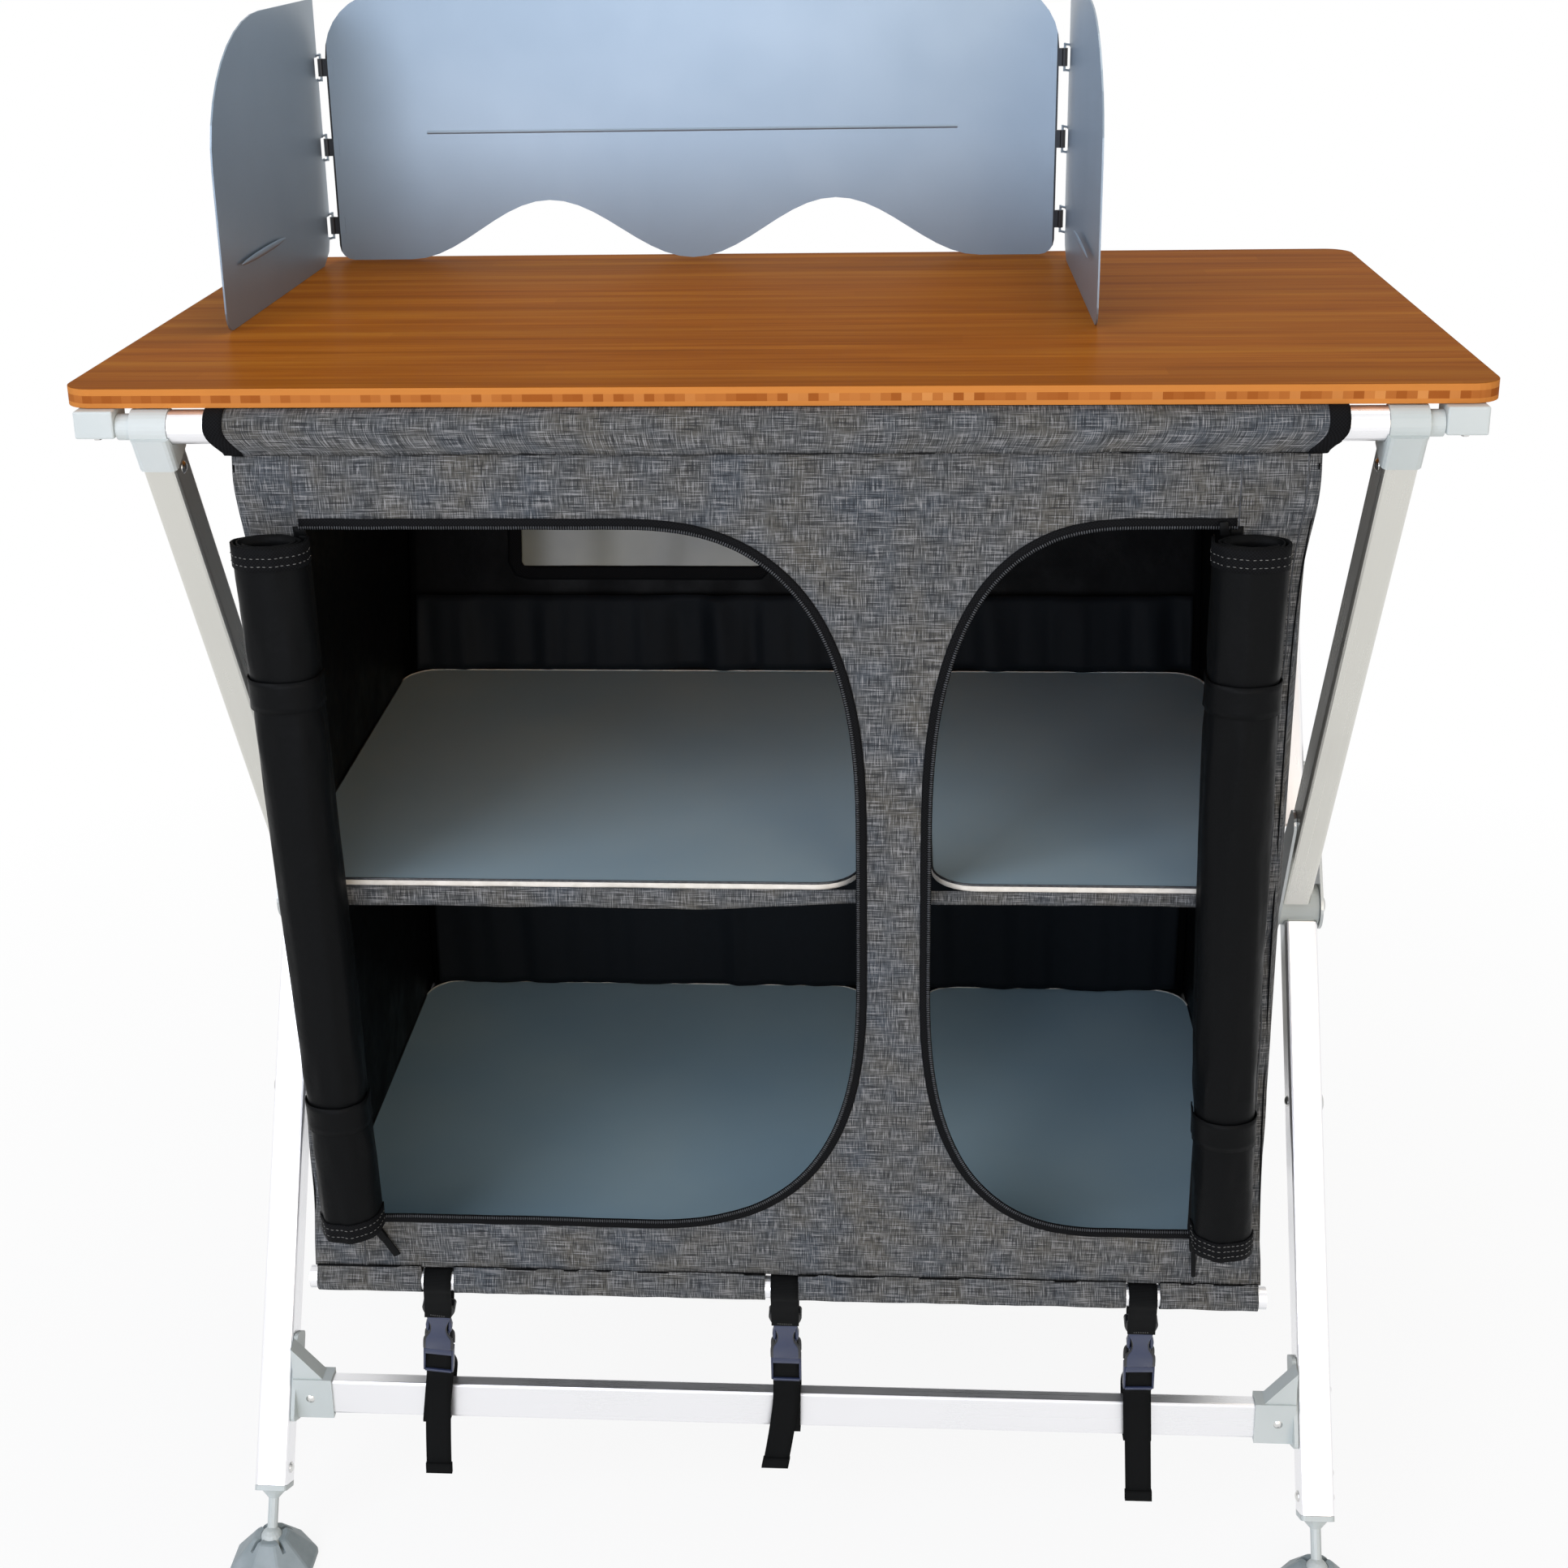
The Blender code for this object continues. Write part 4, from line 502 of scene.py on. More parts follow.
def arc(centre, reach, degrees, rise=None):
    """Points round a centre at angles in degrees, at one reach, or at a reach and a rise of an ellipse."""
    across, along = centre
    bends = [math.radians(angle) for angle in degrees]
    return [(across + reach * math.cos(bend), along + (rise or reach) * math.sin(bend)) for bend in bends]


def smooth_line(points, steps):
    """More points on a smooth curve through the given ones."""
    points = [Vector(point) for point in points]
    ends = [2 * points[0] - points[1], *points, 2 * points[-1] - points[-2]]
    line = []
    for before, start, end, after in zip(ends, ends[1:], ends[2:], ends[3:]):
        for step in range(steps):
            t = step / steps
            line.append(0.5 * (
                2 * start + (end - before) * t + (2 * before - 5 * start + 4 * end - after) * t * t
                + (3 * start - before - 3 * end + after) * t ** 3
            ))
    return [*line, points[-1]]


def lift(laid, u, v):
    """The place of a point of the flat cloth, and the direction out of its face there."""
    spot = laid(u, v)
    out = (laid(u + 0.0002, v) - spot).cross(laid(u, v + 0.0002) - spot)
    return spot, out.normalized()


def closed_slab(shape, faces, move):
    """Closes faces into a slab with a copy of them moved away."""
    made = bmesh.ops.extrude_face_region(shape, geom=faces, use_keep_orig=True)["geom"]
    verts = [item for item in made if isinstance(item, bmesh.types.BMVert)]
    bmesh.ops.translate(shape, vec=move, verts=verts)
    bmesh.ops.recalc_face_normals(shape, faces=shape.faces)


def cut_plate(shape, outline, move):
    """Adds a plate with an outline of points, as thick as the move to its other face."""
    closed_slab(shape, [shape.faces.new([shape.verts.new(point) for point in outline])], move)


def cut_cloth(wide, long, step, thick, holes=()):
    """Flat cloth as a closed slab with its flat coordinates kept as a UV map, and openings cut through it."""
    shape = bmesh.new()
    across, down = max(1, round(wide / step[0])), max(1, round(long / step[1]))
    bmesh.ops.create_grid(shape, x_segments=across, y_segments=down, size=0.5)
    bmesh.ops.scale(shape, vec=(wide, long, 1), verts=shape.verts)
    closed_slab(shape, shape.faces[:], (0, 0, -thick))
    if holes:
        slab = shown("slab", shape)
        for hole in holes:
            punch = bmesh.new()
            cut_plate(punch, [(*point, 0.01) for point in hole], (0, 0, -0.03))
            cutter = shown("punch", punch)
            cutting = slab.modifiers.new("cut", "BOOLEAN")
            cutting.object = cutter
            cutting.operation = "DIFFERENCE"
            cutting.solver = "EXACT"
            done = bpy.data.meshes.new_from_object(slab.evaluated_get(bpy.context.evaluated_depsgraph_get()))
            slab.modifiers.clear()
            slab.data = done
            bpy.data.objects.remove(cutter)
        shape = bmesh.new()
        shape.from_mesh(slab.data)
        bpy.data.objects.remove(slab)
    for layer in list(shape.loops.layers.uv):
        shape.loops.layers.uv.remove(layer)
    flat = shape.loops.layers.uv.new("cut")
    for face in shape.faces:
        face.material_index = 0 if face.normal.z > 0.5 else 1 if face.normal.z < -0.5 else 2
        for loop in face.loops:
            loop[flat].uv = loop.vert.co.xy
    return shape


def sewn(name, size, step, laid, finishes, body=None, thick=CLOTH, holes=(), raised=0.0):
    """Cloth cut flat to size, then laid by a function of its flat coordinates, first face outwards."""
    shape = cut_cloth(*size, step, thick, holes)
    known = {}
    for vert in shape.verts:
        u, v, w = vert.co
        key = (round(u, 6), round(v, 6))
        if key not in known:
            known[key] = lift(laid, u, v)
        spot, out = known[key]
        vert.co = spot + out * (w + raised)
    if len(finishes) > 1:
        return shown(name, shape, [*finishes, coated], body)
    for face in shape.faces:
        face.material_index = 0
    return shown(name, shape, finishes, body)


def cupboard_swing(*pieces):
    """Cloth between the frames: each piece's place is baked into its mesh, and it is given no body to move
    with.
    """
    for piece in pieces:
        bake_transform(piece)


def rough_cloth(x, y, z, size, amount):
    """Uneven slack of the cloth at a place."""
    return amount * noise.noise(Vector((x / size, y / size + 7.3, z / size)))


def panel_plane(z):
    """Depth of the front panel's plane at a height. It leans back towards the hem."""
    return -0.24759 + (0.8875 - z) * 0.02598


# Front sleeve: the canvas sleeve that the front top tube is pushed through, bound in black at both ends.
# It is gathered to the panel by the seam below the tube, so it stands proud of the panel and overhangs it.
SLEEVE_HALF = 0.356
TUBE_Y, TUBE_Z = -0.23489, 0.905
SEAM_Y, SEAM_Z = -0.2450, 0.8886

ring = [(SEAM_Y, SEAM_Z), (SEAM_Y - 0.0022, SEAM_Z + 0.0040)]
ring += arc((TUBE_Y, TUBE_Z), 0.0124, range(196, -76, -8), 0.0122)
ring += [(SEAM_Y + 0.0035, SEAM_Z + 0.0012), (SEAM_Y + 0.0012, SEAM_Z - 0.0004)]
sleeve_long, sleeve_at = follow([(0, y, z) for y, z in ring])


def sleeve_laid(u, v):
    distance = min(max(v + sleeve_long / 2, 0.0), sleeve_long)
    spot = sleeve_at(distance)[0]
    near = min(distance, sleeve_long - distance)
    x = u * (1 - 0.034 * math.exp(-((near / 0.009) ** 2)))
    out = Vector((0, spot.y - TUBE_Y, spot.z - TUBE_Z))
    slack = rough_cloth(x * 0.6, 0, v * 2, 0.03, 0.0009) + rough_cloth(x, 3, v, 0.012, 0.0004)
    low = max(0.0, (TUBE_Z - spot.z) / 0.016)
    spot += out.normalized() * (slack - 0.0002) * (0.35 + low)
    return Vector((x, spot.y, spot.z))


sleeve_size = (2 * SLEEVE_HALF, sleeve_long)
sleeve = sewn("front_sleeve", sleeve_size, (0.006, 0.0024), sleeve_laid, [canvas, coated], "frame_b", 0.0008)
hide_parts("cupboard_sleeve")
for side, word in ((-1, "left"), (1, "right")):
    bound = sewn(
        f"sleeve_binding_{word}", (0.0125, sleeve_long), (0.0030, 0.0024),
        lambda u, v: sleeve_laid(side * (SLEEVE_HALF - 0.0060) + u, v), [tape], "frame_b", 0.0016,
        raised=0.0007,
    )


# Front panel: one cut of canvas between the sleeve's seam and the hem tube, with two arched door openings.
# It leans back towards the hem. Its side edges are flanges sewn to the side walls, slack and a little wavy.
DOOR_TOP, DOOR_BASE = 0.842, 0.320
LEFT_DOOR = (-0.3010, -0.100, 0.0565)  # the straight side, where the arches start, and their furthest reach
RIGHT_DOOR = (0.2915, 0.235, 0.1025)
ARCH_POWER = 2 / 2.7
PANEL_MID = (PANEL_TOP + PANEL_BASE) / 2


def door_curve(door):
    """The zipped edge of a door opening as flat points: from its straight side's top round to its base."""
    straight, start, furthest = door
    reach = furthest - start
    line = [(straight, DOOR_TOP), ((straight + start) / 2, DOOR_TOP)]
    for level, tall, way in ((DOOR_TOP, 0.225, 1), (DOOR_BASE, 0.205, -1)):
        for step in range(37)[::way]:
            bend = math.radians(2.5 * step)
            across, drop = math.sin(bend) ** ARCH_POWER, math.cos(bend) ** ARCH_POWER
            line.append((start + reach * across, level - way * tall * (1 - drop)))
    line += [((straight + start) / 2, DOOR_BASE), (straight, DOOR_BASE)]
    return [(x, z - PANEL_MID) for x, z in line]


def panel_y(x, z):
    """Depth of the front panel's outer face."""
    tuck = 0.0026 * math.exp(-(((PANEL_TOP - z) / 0.011) ** 2))
    edge = min(1.0, max(0.0, (abs(x) - 0.322) / 0.019))
    slack = rough_cloth(x, 0, z, 0.055, 0.0028) * edge + rough_cloth(x, 2, z, 0.11, 0.0012)
    column = rough_cloth(x * 2.4, 5, z * 0.7, 0.05, 0.0006)
    return panel_plane(z) + tuck + 0.0012 + slack + column


def drawn_in(z):
    """How far the rolled doors pull the cupboard's front edges inwards at a height."""
    share = min(1.0, max(0.0, (PANEL_TOP - z) / (PANEL_TOP - PANEL_BASE)))
    return 0.0092 * (1 - math.exp(-((share / 0.12) ** 2))) * (1 - share ** 4)


def panel_laid(u, v):
    z = v + PANEL_MID
    edge = min(1.0, max(0.0, (abs(u) - 0.29) / 0.051))
    sway = rough_cloth(0, u, v, 0.07, 0.0035) * edge
    x = u + sway - math.copysign(drawn_in(z) * edge, u)
    return Vector((x, panel_y(u, z) + 0.35 * drawn_in(z) * edge ** 3, z))


openings = [door_curve(door) for door in (LEFT_DOOR, RIGHT_DOOR)]
panel_size = (2 * PANEL_HALF, PANEL_TOP - PANEL_BASE)
panel = sewn("front_panel", panel_size, (0.0055, 0.0055), panel_laid, [canvas, coated], holes=openings)
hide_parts("cupboard_front")

# Zips: a coil zip runs round each opening, its tape bound over the cut edge of the canvas.
# The coil is a row of small nylon turns, 1.6 mm apart, on the side of the opening.
# Its nylon is smooth, and its grey, paler than the black tape and mottled lighter and darker, is painted
# highlight for the spot of light that every turn catches.
COIL_PITCH = 0.0016

painted_glint_and_shade_nylon = noisy(new_finish("zip_painted_glint_and_shade_nylon", "#2A2C2F", 0.3), (300.0, 2.0, "#1E2022", "#44474B"))


def banded(name, line, wide, host, raised, finish, thick, shift=0.0, crown=0.0, step=(0.002, 0.004)):
    """Tape along a line of flat points on a laid cloth, raised off its face, shifted to the line's left."""
    long, at = follow([(u, v, 0) for u, v in line])

    def laid(across, along):
        centre, way = at(along + long / 2)
        u, v = centre.x - way.y * (shift - across), centre.y + way.x * (shift - across)
        spot, out = lift(host, u, v)
        return spot + out * (raised + crown * (1 - (2 * across / wide) ** 2))

    return sewn(name, (wide, long), step, laid, [finish], thick=thick)


def beaded(shape, host, line, pitch, size, out_by, shift=0.0, first=0.0):
    """A row of beads, sized along, across and out of a laid cloth, a pitch apart on a line of flat points."""
    long, at = follow([(u, v, 0) for u, v in line])
    for count in range(int(long / pitch)):
        centre, way = at((count + first) * pitch)
        u, v = centre.x - way.y * shift, centre.y + way.x * shift
        spot, out = lift(host, u, v)
        ahead = (host(u + way.x * 0.0004, v + way.y * 0.0004) - spot).normalized()
        turn = Matrix((ahead * size[0], out.cross(ahead) * size[1], out * size[2])).transposed().to_4x4()
        place = Matrix.Translation(spot + out * out_by) @ turn
        bmesh.ops.create_icosphere(shape, subdivisions=1, radius=1.0, matrix=place)


zip_pieces = []
for door, edge, word, way in ((LEFT_DOOR, openings[0], "left", 1), (RIGHT_DOOR, openings[1], "right", -1)):
    binding = banded(f"zip_tape_{word}", edge, 0.0074, panel_laid, 0.0006, tape, 0.0010, way * 0.0016, 0.0006)
    turns = bmesh.new()
    beaded(turns, panel_laid, edge, COIL_PITCH, (0.00058, 0.0015, 0.0007), 0.0014, way * -0.0006)
    coil = shown(f"zip_coil_{word}", turns, [painted_glint_and_shade_nylon])
    sewn_side = [(door[0], DOOR_TOP - PANEL_MID), (door[0], DOOR_BASE - PANEL_MID)]
    seam = banded(f"door_seam_{word}", sewn_side, 0.0090, panel_laid, 0.0005, coated, 0.0016)
    zip_pieces += [binding, coil, seam]
# Strips of the coil's dark nylon, 1.1 mm wide, lie along the panel's seams as painted shade in their grooves.
for x, low, high, word in (
    (-0.3030, 0.842, PANEL_TOP, "left_high"), (0.2928, 0.842, PANEL_TOP, "right_high"),
    (-0.3030, PANEL_BASE, 0.322, "left_low"), (0.2928, PANEL_BASE, 0.322, "right_low"),
    (0.3335, PANEL_BASE, PANEL_TOP, "right_edge"),
):
    line = [(x, high - PANEL_MID), (x, low - PANEL_MID)]
    step = (0.00055, 0.006)
    zip_pieces.append(
        banded(f"panel_seam_painted_shade_{word}", line, 0.0011, panel_laid, 0.0003, painted_glint_and_shade_nylon, 0.0008, step=step)
    )

# Each zip ends in a slider with a pull that hangs from it, moulded in black nylon.
# It is nearly matt, with a grain of 2.5 mm in its shine.
pull_nylon = new_finish("zip_pull_nylon", "#0C0D0E", 0.42, specular=0.08)
pull_nylon = noisy(pull_nylon, wear=(400.0, 2.0, 0.34, 0.52))
for word, slider, tip, wide in (
    ("left_high", (-0.2974, 0.8323), (-0.2990, 0.8190), 0.0028),
    ("right_high", (0.2832, 0.8415), (0.2850, 0.8290), 0.0028),
    ("left_low", (-0.2890, 0.3060), (-0.2785, 0.2878), 0.0056),
    ("right_low", (0.2912, 0.3110), (0.2926, 0.2843), 0.0032),
):
    start, end = (Vector((x, panel_y(x, z) - 0.0030, z)) for x, z in (slider, tip))
    along = (end - start).normalized()
    across = along.cross(Vector((0, -1, 0))).normalized()
    pull_size = (wide, (end - start).length, 0.0014)
    pull = bmesh.new()
    for centre, sizes in ((start, (0.0056, 0.0090, 0.0034)), ((start + end) / 2, pull_size)):
        axes = (across * sizes[0], along * sizes[1], across.cross(along) * sizes[2])
        turn = Matrix(axes).transposed().to_4x4()
        bmesh.ops.create_cube(pull, size=1.0, matrix=Matrix.Translation(centre) @ turn)
    bmesh.ops.recalc_face_normals(pull, faces=pull.faces)
    runner = shown(f"zip_slider_{word}", pull, [pull_nylon])
    rounding = runner.modifiers.new("rounding", "BEVEL")
    rounding.width, rounding.segments = 0.0005, 2
    zip_pieces.append(runner)
cupboard_swing(panel, *zip_pieces)
panel_area = panel_size[0] * panel_size[1]
for opening in openings:
    panel_area -= abs(sum(a[0] * b[1] - b[0] * a[1] for a, b in zip(opening, opening[1:] + opening[:1]))) / 2


# Hem: the panel's lower edge is turned round the hem tube and sewn up, with a gap at each strap.
# The bare tube shows in the gaps and at both ends.
HEM_Y, HEM_Z = -0.22739, 0.264
HEM_REACH = 0.0094

loop = [(HEM_Y - 0.0040, PANEL_BASE + 0.0012)]
loop += arc((HEM_Y, HEM_Z), HEM_REACH, range(122, 418, 8))
loop += [(HEM_Y - 0.0024, PANEL_BASE + 0.0008)]
hem_long, hem_at = follow([(0, y, z) for y, z in loop])
HEM_SPANS = ((-0.339, -0.2625), (-0.2385, -0.0120), (0.0120, 0.2460), (0.2700, 0.339))
for count, (start, end) in enumerate(HEM_SPANS):
    wide = end - start
    middle = (start + end) / 2

    def hem_laid(u, v):
        spot = hem_at(hem_long / 2 - v)[0]
        out = Vector((0, spot.y - HEM_Y, spot.z - HEM_Z)).normalized()
        spot = spot + out * rough_cloth(u + middle, 1, -v, 0.018, 0.0005)
        return Vector((u + middle, spot.y, spot.z))

    name, size = f"hem_sleeve_{count + 1}", (wide, hem_long)
    hem = sewn(name, size, (0.006, 0.0024), hem_laid, [canvas, coated], "frame_a", 0.0008)


# Side walls: canvas between the front and back panels, black inside, bellied a little between the shelves.
# The upper edge hangs just below the worktop, and the rear edge is sewn into the back.
BACK_KNEE = 0.580
BACK_LEAN = 0.2120
SIDE_LOW, SIDE_HIGH = 0.2772, 0.882
SIDE_DEEP = 0.46


def back_y(z):
    """Depth just before the back wall's inner face: upright to the knee, then out to the rear tube."""
    return 0.20261 + max(0.0, z - BACK_KNEE) * BACK_LEAN


for side, word in ((-1, "left"), (1, "right")):

    def side_laid(u, v):
        share = side * u / SIDE_DEEP + 0.5
        z = (SIDE_LOW + SIDE_HIGH) / 2 + v
        front = panel_plane(z) + 0.0028
        y = front + share * (back_y(z) + 0.0014 - front)
        waves = math.sin(math.pi * min(1, max(0, (z - 0.28) / 0.6)) * 2) ** 2
        belly = 0.0026 * math.sin(math.pi * share) * waves
        hollow = rough_cloth(y, 9, z, 0.09, 0.0016) * math.sin(math.pi * share)
        pulled = drawn_in(z) * max(0.0, 1 - share / 0.07) ** 1.5
        return Vector((side * (0.3400 + belly + hollow - pulled), y, z))

    side_size = (SIDE_DEEP, SIDE_HIGH - SIDE_LOW)
    wall = sewn(f"side_wall_{word}", side_size, (0.009, 0.009), side_laid, [canvas, coated])
    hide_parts(f"cupboard_side_{word}")
    cupboard_swing(wall)


# Back: one length of canvas that makes the floor, the back wall and the sleeve of the rear top tube.
# A window of khaki film is sewn in behind the left opening, with a black tape frame on both faces.
# The film is hazy and lets a little light through, in uneven patches about 90 mm across.
REAR_Y = 0.26011
BACK_WIDE = 0.680
WINDOW_LEFT, WINDOW_RIGHT, WINDOW_LOW, WINDOW_HIGH = -0.2430, -0.0310, 0.6680, 0.7900
WINDOW_CORNER = 0.006

run = [(-0.2260, 0.2764), (0.1990, 0.2764), (0.2022, 0.2776), (0.2036, 0.2810), (0.2036, BACK_KNEE)]
run += arc((REAR_Y, TUBE_Z), 0.0122, range(-18, 250, 9))
back_long, back_at = follow([(0, y, z) for y, z in run])


def back_laid(u, v):
    distance = v + back_long / 2
    spot, way = back_at(distance)
    out = Vector((0, way.z, -way.y))
    wall = min(1.0, max(0.0, (distance - 0.43) / 0.05)) * min(1.0, max(0.0, (1.045 - distance) / 0.06))
    fold = rough_cloth(u * 2.2, 1, v * 0.45, 0.07, 0.0032) + rough_cloth(u, 4, v, 0.2, 0.003)
    hold = math.cos(math.pi * u / 0.69)
    return Vector((u, spot.y, spot.z)) + out * fold * wall * hold


def back_flat(z):
    """How far along the flat cloth a height of the leaning part of the back is."""
    knee = 0.4250 + 0.0056 + 0.299
    return knee + (z - BACK_KNEE) * math.hypot(1, BACK_LEAN) - back_long / 2


window_low, window_high = back_flat(WINDOW_LOW), back_flat(WINDOW_HIGH)
hole = []
for x, v, in_x, in_v, first in (
    (WINDOW_RIGHT, window_high, -1, -1, 0), (WINDOW_LEFT, window_high, 1, -1, 90),
    (WINDOW_LEFT, window_low, 1, 1, 180), (WINDOW_RIGHT, window_low, -1, 1, 270),
):
    corner = (x + WINDOW_CORNER * in_x, v + WINDOW_CORNER * in_v)
    hole += arc(corner, WINDOW_CORNER, range(first, first + 91, 30))
back_size = (BACK_WIDE, back_long)
back = sewn(
    "back_and_floor", back_size, (0.0085, 0.0085), back_laid, [coated, canvas], "frame_a", holes=[hole]
)
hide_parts("cupboard_back")

film = new_finish("khaki_window_film", "#6E6A54", 0.3)
film[2]["Transmission Weight"].default_value = 0.12
film = noisy(film, (11.0, 3.0, "#5C5946", "#7E7A60"))
pane_u, pane_v = (WINDOW_LEFT + WINDOW_RIGHT) / 2, (window_low + window_high) / 2
pane_size = (WINDOW_RIGHT - WINDOW_LEFT + 0.010, window_high - window_low + 0.010)
pane = sewn(
    "window_pane", pane_size, (0.0085, 0.0085), lambda u, v: back_laid(u + pane_u, v + pane_v), [film],
    "frame_a", 0.0004, raised=-0.0003,
)
for word, raised in (("inside", 0.0009), ("outside", -CLOTH - 0.0004)):
    around = [*hole, hole[0]]
    bound = banded(
        f"window_frame_{word}", around, 0.0120, back_laid, raised, tape, 0.0009, -0.0035, step=(0.003, 0.006)
    )
    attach(bound, "frame_a")


# Lining flounces: thin black cloth gathered along the back of each shelf, which hangs in upright folds.
# The upper one is short and held along its top, and the lower one hangs from the middle shelf to the base.
# The plain weave, drawn 1.1 mm wide, only shows as a soft break in its sheen.
lining, tree, shader, place = new_finish("black_lining_cloth", "#14181C", 0.62, specular=0.1)
flat = add(tree, "UVMap", uv_map="cut")
weave = add(tree, "TexChecker", {"Vector": flat, "Scale": 900.0}).node.outputs["Fac"]
add(tree, "Bump", {"Height": weave, "Distance": 0.0002, "Strength": 0.4}, feeds=shader["Normal"])
for word, low, high in (("upper", 0.5855, 0.6480), ("lower", 0.2830, 0.5720)):

    def flounce_laid(u, v):
        z = (low + high) / 2 + v
        drop = (high - z) / (high - low)
        fold = noise.noise(Vector((u * 34 + 3 * v, 2.0 + low, 0))) * 0.0092
        fold += noise.noise(Vector((u * 80, 8 + low, z * 3))) * 0.0022
        fold *= 0.3 + 0.7 * min(1.0, drop * 3) if word == "upper" else 0.6
        return Vector((u * 0.985, back_y(z) - 0.0112 + fold, z))

    flounce_size = (0.672, high - low)
    flounce = sewn(
        f"lining_flounce_{word}", flounce_size, (0.0028, 0.006), flounce_laid, [lining], "frame_a", 0.0006
    )


# Shelves: two boards a level, side by side, in smooth blue-grey laminate, with a pale edge and a bead round
# the top.
# The middle one lies on a tray of canvas, whose front strip hangs below it.
# The laminate's grain of 0.7 mm gives it a satin shine, and the edge is a creamy plastic with a few scuffs.
laminate = noisy(
    new_finish("blue_grey_laminate", "#ABC6D0", 0.36),
    (7.0, 3.0, "#A6C2CF", "#B2CAD2"), (1500.0, 2.0, 0.3, 0.44), 0.00003,
)
edge_plastic = noisy(new_finish("pale_edge_banding", "#E4DED2", 0.4), (120.0, 3.0, "#D8D2C6", "#EEE9DE"))


def board_outline(left, right, front, rear, radius=0.028):
    """Closed outline of a shelf board with its rounded corners."""
    line = []
    for x, y, first in (
        (right - radius, rear - radius, 0), (left + radius, rear - radius, 90),
        (left + radius, front + radius, 180), (right - radius, front + radius, 270),
    ):
        line += arc((x, y), radius, range(first, first + 91, 15))
    return [*line, line[0]]


def rimmed(name, outline, levels, finish, out, thick):
    """A strip round a board's edge between two levels."""
    long, at = follow([(x, y, 0) for x, y in outline])
    tall = levels[1] - levels[0]

    def laid(u, v):
        spot, way = at(u + long / 2)
        return Vector((spot.x + way.y * out, spot.y - way.x * out, (levels[0] + levels[1]) / 2 + v))

    return sewn(name, (long, tall), (0.006, max(tall / 3, 0.0005)), laid, [finish], "frame_a", thick)


for node, word in (("shelf_middle", "middle"), ("shelf_base", "base")):
    low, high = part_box(node)
    for left, right, half in ((low.x + 0.0006, 0.056, "left"), (0.106, high.x - 0.0006, "right")):
        outline = board_outline(left, right, low.y + 0.0006, high.y - 0.0006)
        front_and_sides = [*outline[13:28], outline[0]]
        slab = bmesh.new()
        cut_plate(slab, [(x, y, high.z) for x, y in outline[:-1]], (0, 0, low.z - high.z))
        board = shown(f"shelf_board_{word}_{half}", slab, [laminate], "frame_a", False)
        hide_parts(node)
        band, lip = (low.z + 0.0002, high.z - 0.0010), (high.z - 0.0010, high.z + 0.0004)
        # The bead is painted dark along the front and sides, as painted shade in the gap above the edge, and
        # pale along the back, as a painted highlight.
        for piece, line, levels, finish, out, thick, slot in (
            ("edge", outline, band, edge_plastic, 0.0004, 0.0006, "shelf_board"),
            ("bead", front_and_sides, lip, painted_glint_and_shade_nylon, 0.0005, 0.0009, "buckle_plastic"),
            ("rear_bead", outline[:14], lip, edge_plastic, 0.0005, 0.0012, "shelf_board"),
        ):
            rimmed(f"shelf_{piece}_{word}_{half}", line, levels, finish, out, thick)

STRIP_WIDE, STRIP_TALL = 0.640, 0.0150


def strip_laid(u, v):
    drop = STRIP_TALL / 2 - v
    fall = 1.0 if u < -0.05 else 1.0 - 0.35 * min(1.0, (u + 0.05) / 0.11)
    y = -0.2231 - 0.0012 * math.sin(drop / STRIP_TALL * 2.6) + rough_cloth(u, 1, v, 0.03, 0.0012)
    return Vector((u, y, 0.5792 - drop * fall + rough_cloth(u, 6, 0, 0.09, 0.0016) * drop / STRIP_TALL))


strip_size = (STRIP_WIDE, STRIP_TALL)
strip = sewn("shelf_tray_strip", strip_size, (0.006, 0.0030), strip_laid, [canvas, coated], "frame_a")


# Doors: black coated canvas, unzipped, rolled up outwards beside their openings and held by two cloth ties.
# Each is sewn along the straight side of its opening, and its top and bottom hems have rows of grey stitches.
ROLL_TOP, ROLL_BASE = 0.8380, 0.3215
ROLL_TALL, ROLL_MID = ROLL_TOP - ROLL_BASE, (ROLL_TOP + ROLL_BASE) / 2
TIES = (0.737, 0.421)
STITCH_PITCH = 0.0040

# Spun polyester thread is matt, and its twist makes light and dark flecks 0.4 mm long.
thread = noisy(new_finish("grey_sewing_thread", "#6B6B69", 0.7), (2500.0, 2.0, "#5A5A58", "#7C7C78"))

spiral = [(0.0240, 0.0176, 0), (0.0252, 0.0110, 0)]
for step in range(0, 150):
    angle = math.radians(16 - 6 * step)
    shrink = 1 - 0.125 * step * 6 / 360
    spiral.append((0.0255 * shrink * math.cos(angle), 0.0185 * shrink * math.sin(angle), 0))
spiral_long, spiral_at = follow(spiral)


def roll_spot(side, u, z):
    """A point of a rolled door at a distance along its spiral from the sewn edge, and at a height."""
    seed = 2.2 + 2.2 * side
    share = min(1.0, max(0.0, (ROLL_TOP - z) / ROLL_TALL))
    spot = spiral_at(u)[0]
    about = math.atan2(spot.y, spot.x)
    grip = sum(math.exp(-(((z - tie) / 0.017) ** 2)) for tie in TIES)
    puff = sum(math.exp(-(((abs(z - tie) - 0.030) / 0.015) ** 2)) for tie in TIES)
    crease = 0.0017 * noise.noise(Vector((2.2 * math.cos(about), 2.2 * math.sin(about) + seed, z * 7)))
    crease += 0.0009 * puff * math.cos(7 * about + seed)
    crease += 0.0006 * noise.noise(Vector((5 * math.cos(about) + seed, 5 * math.sin(about), z * 30)))
    fit = 0.975 - 0.045 * grip
    x = spot.x * (0.98 - 0.157 * share) * fit + crease * math.cos(about) * (1 - grip)
    y = spot.y * 0.962 * fit + crease * math.sin(about) * (1 - grip) * (1 - max(0.0, math.sin(about)))
    centre = 0.3165 - 0.0110 * share if side < 0 else 0.2990 + 0.0095 * share ** 2.2
    return Vector((side * (centre - x), panel_plane(z) - 0.0188 + min(y, 0.0176), z))


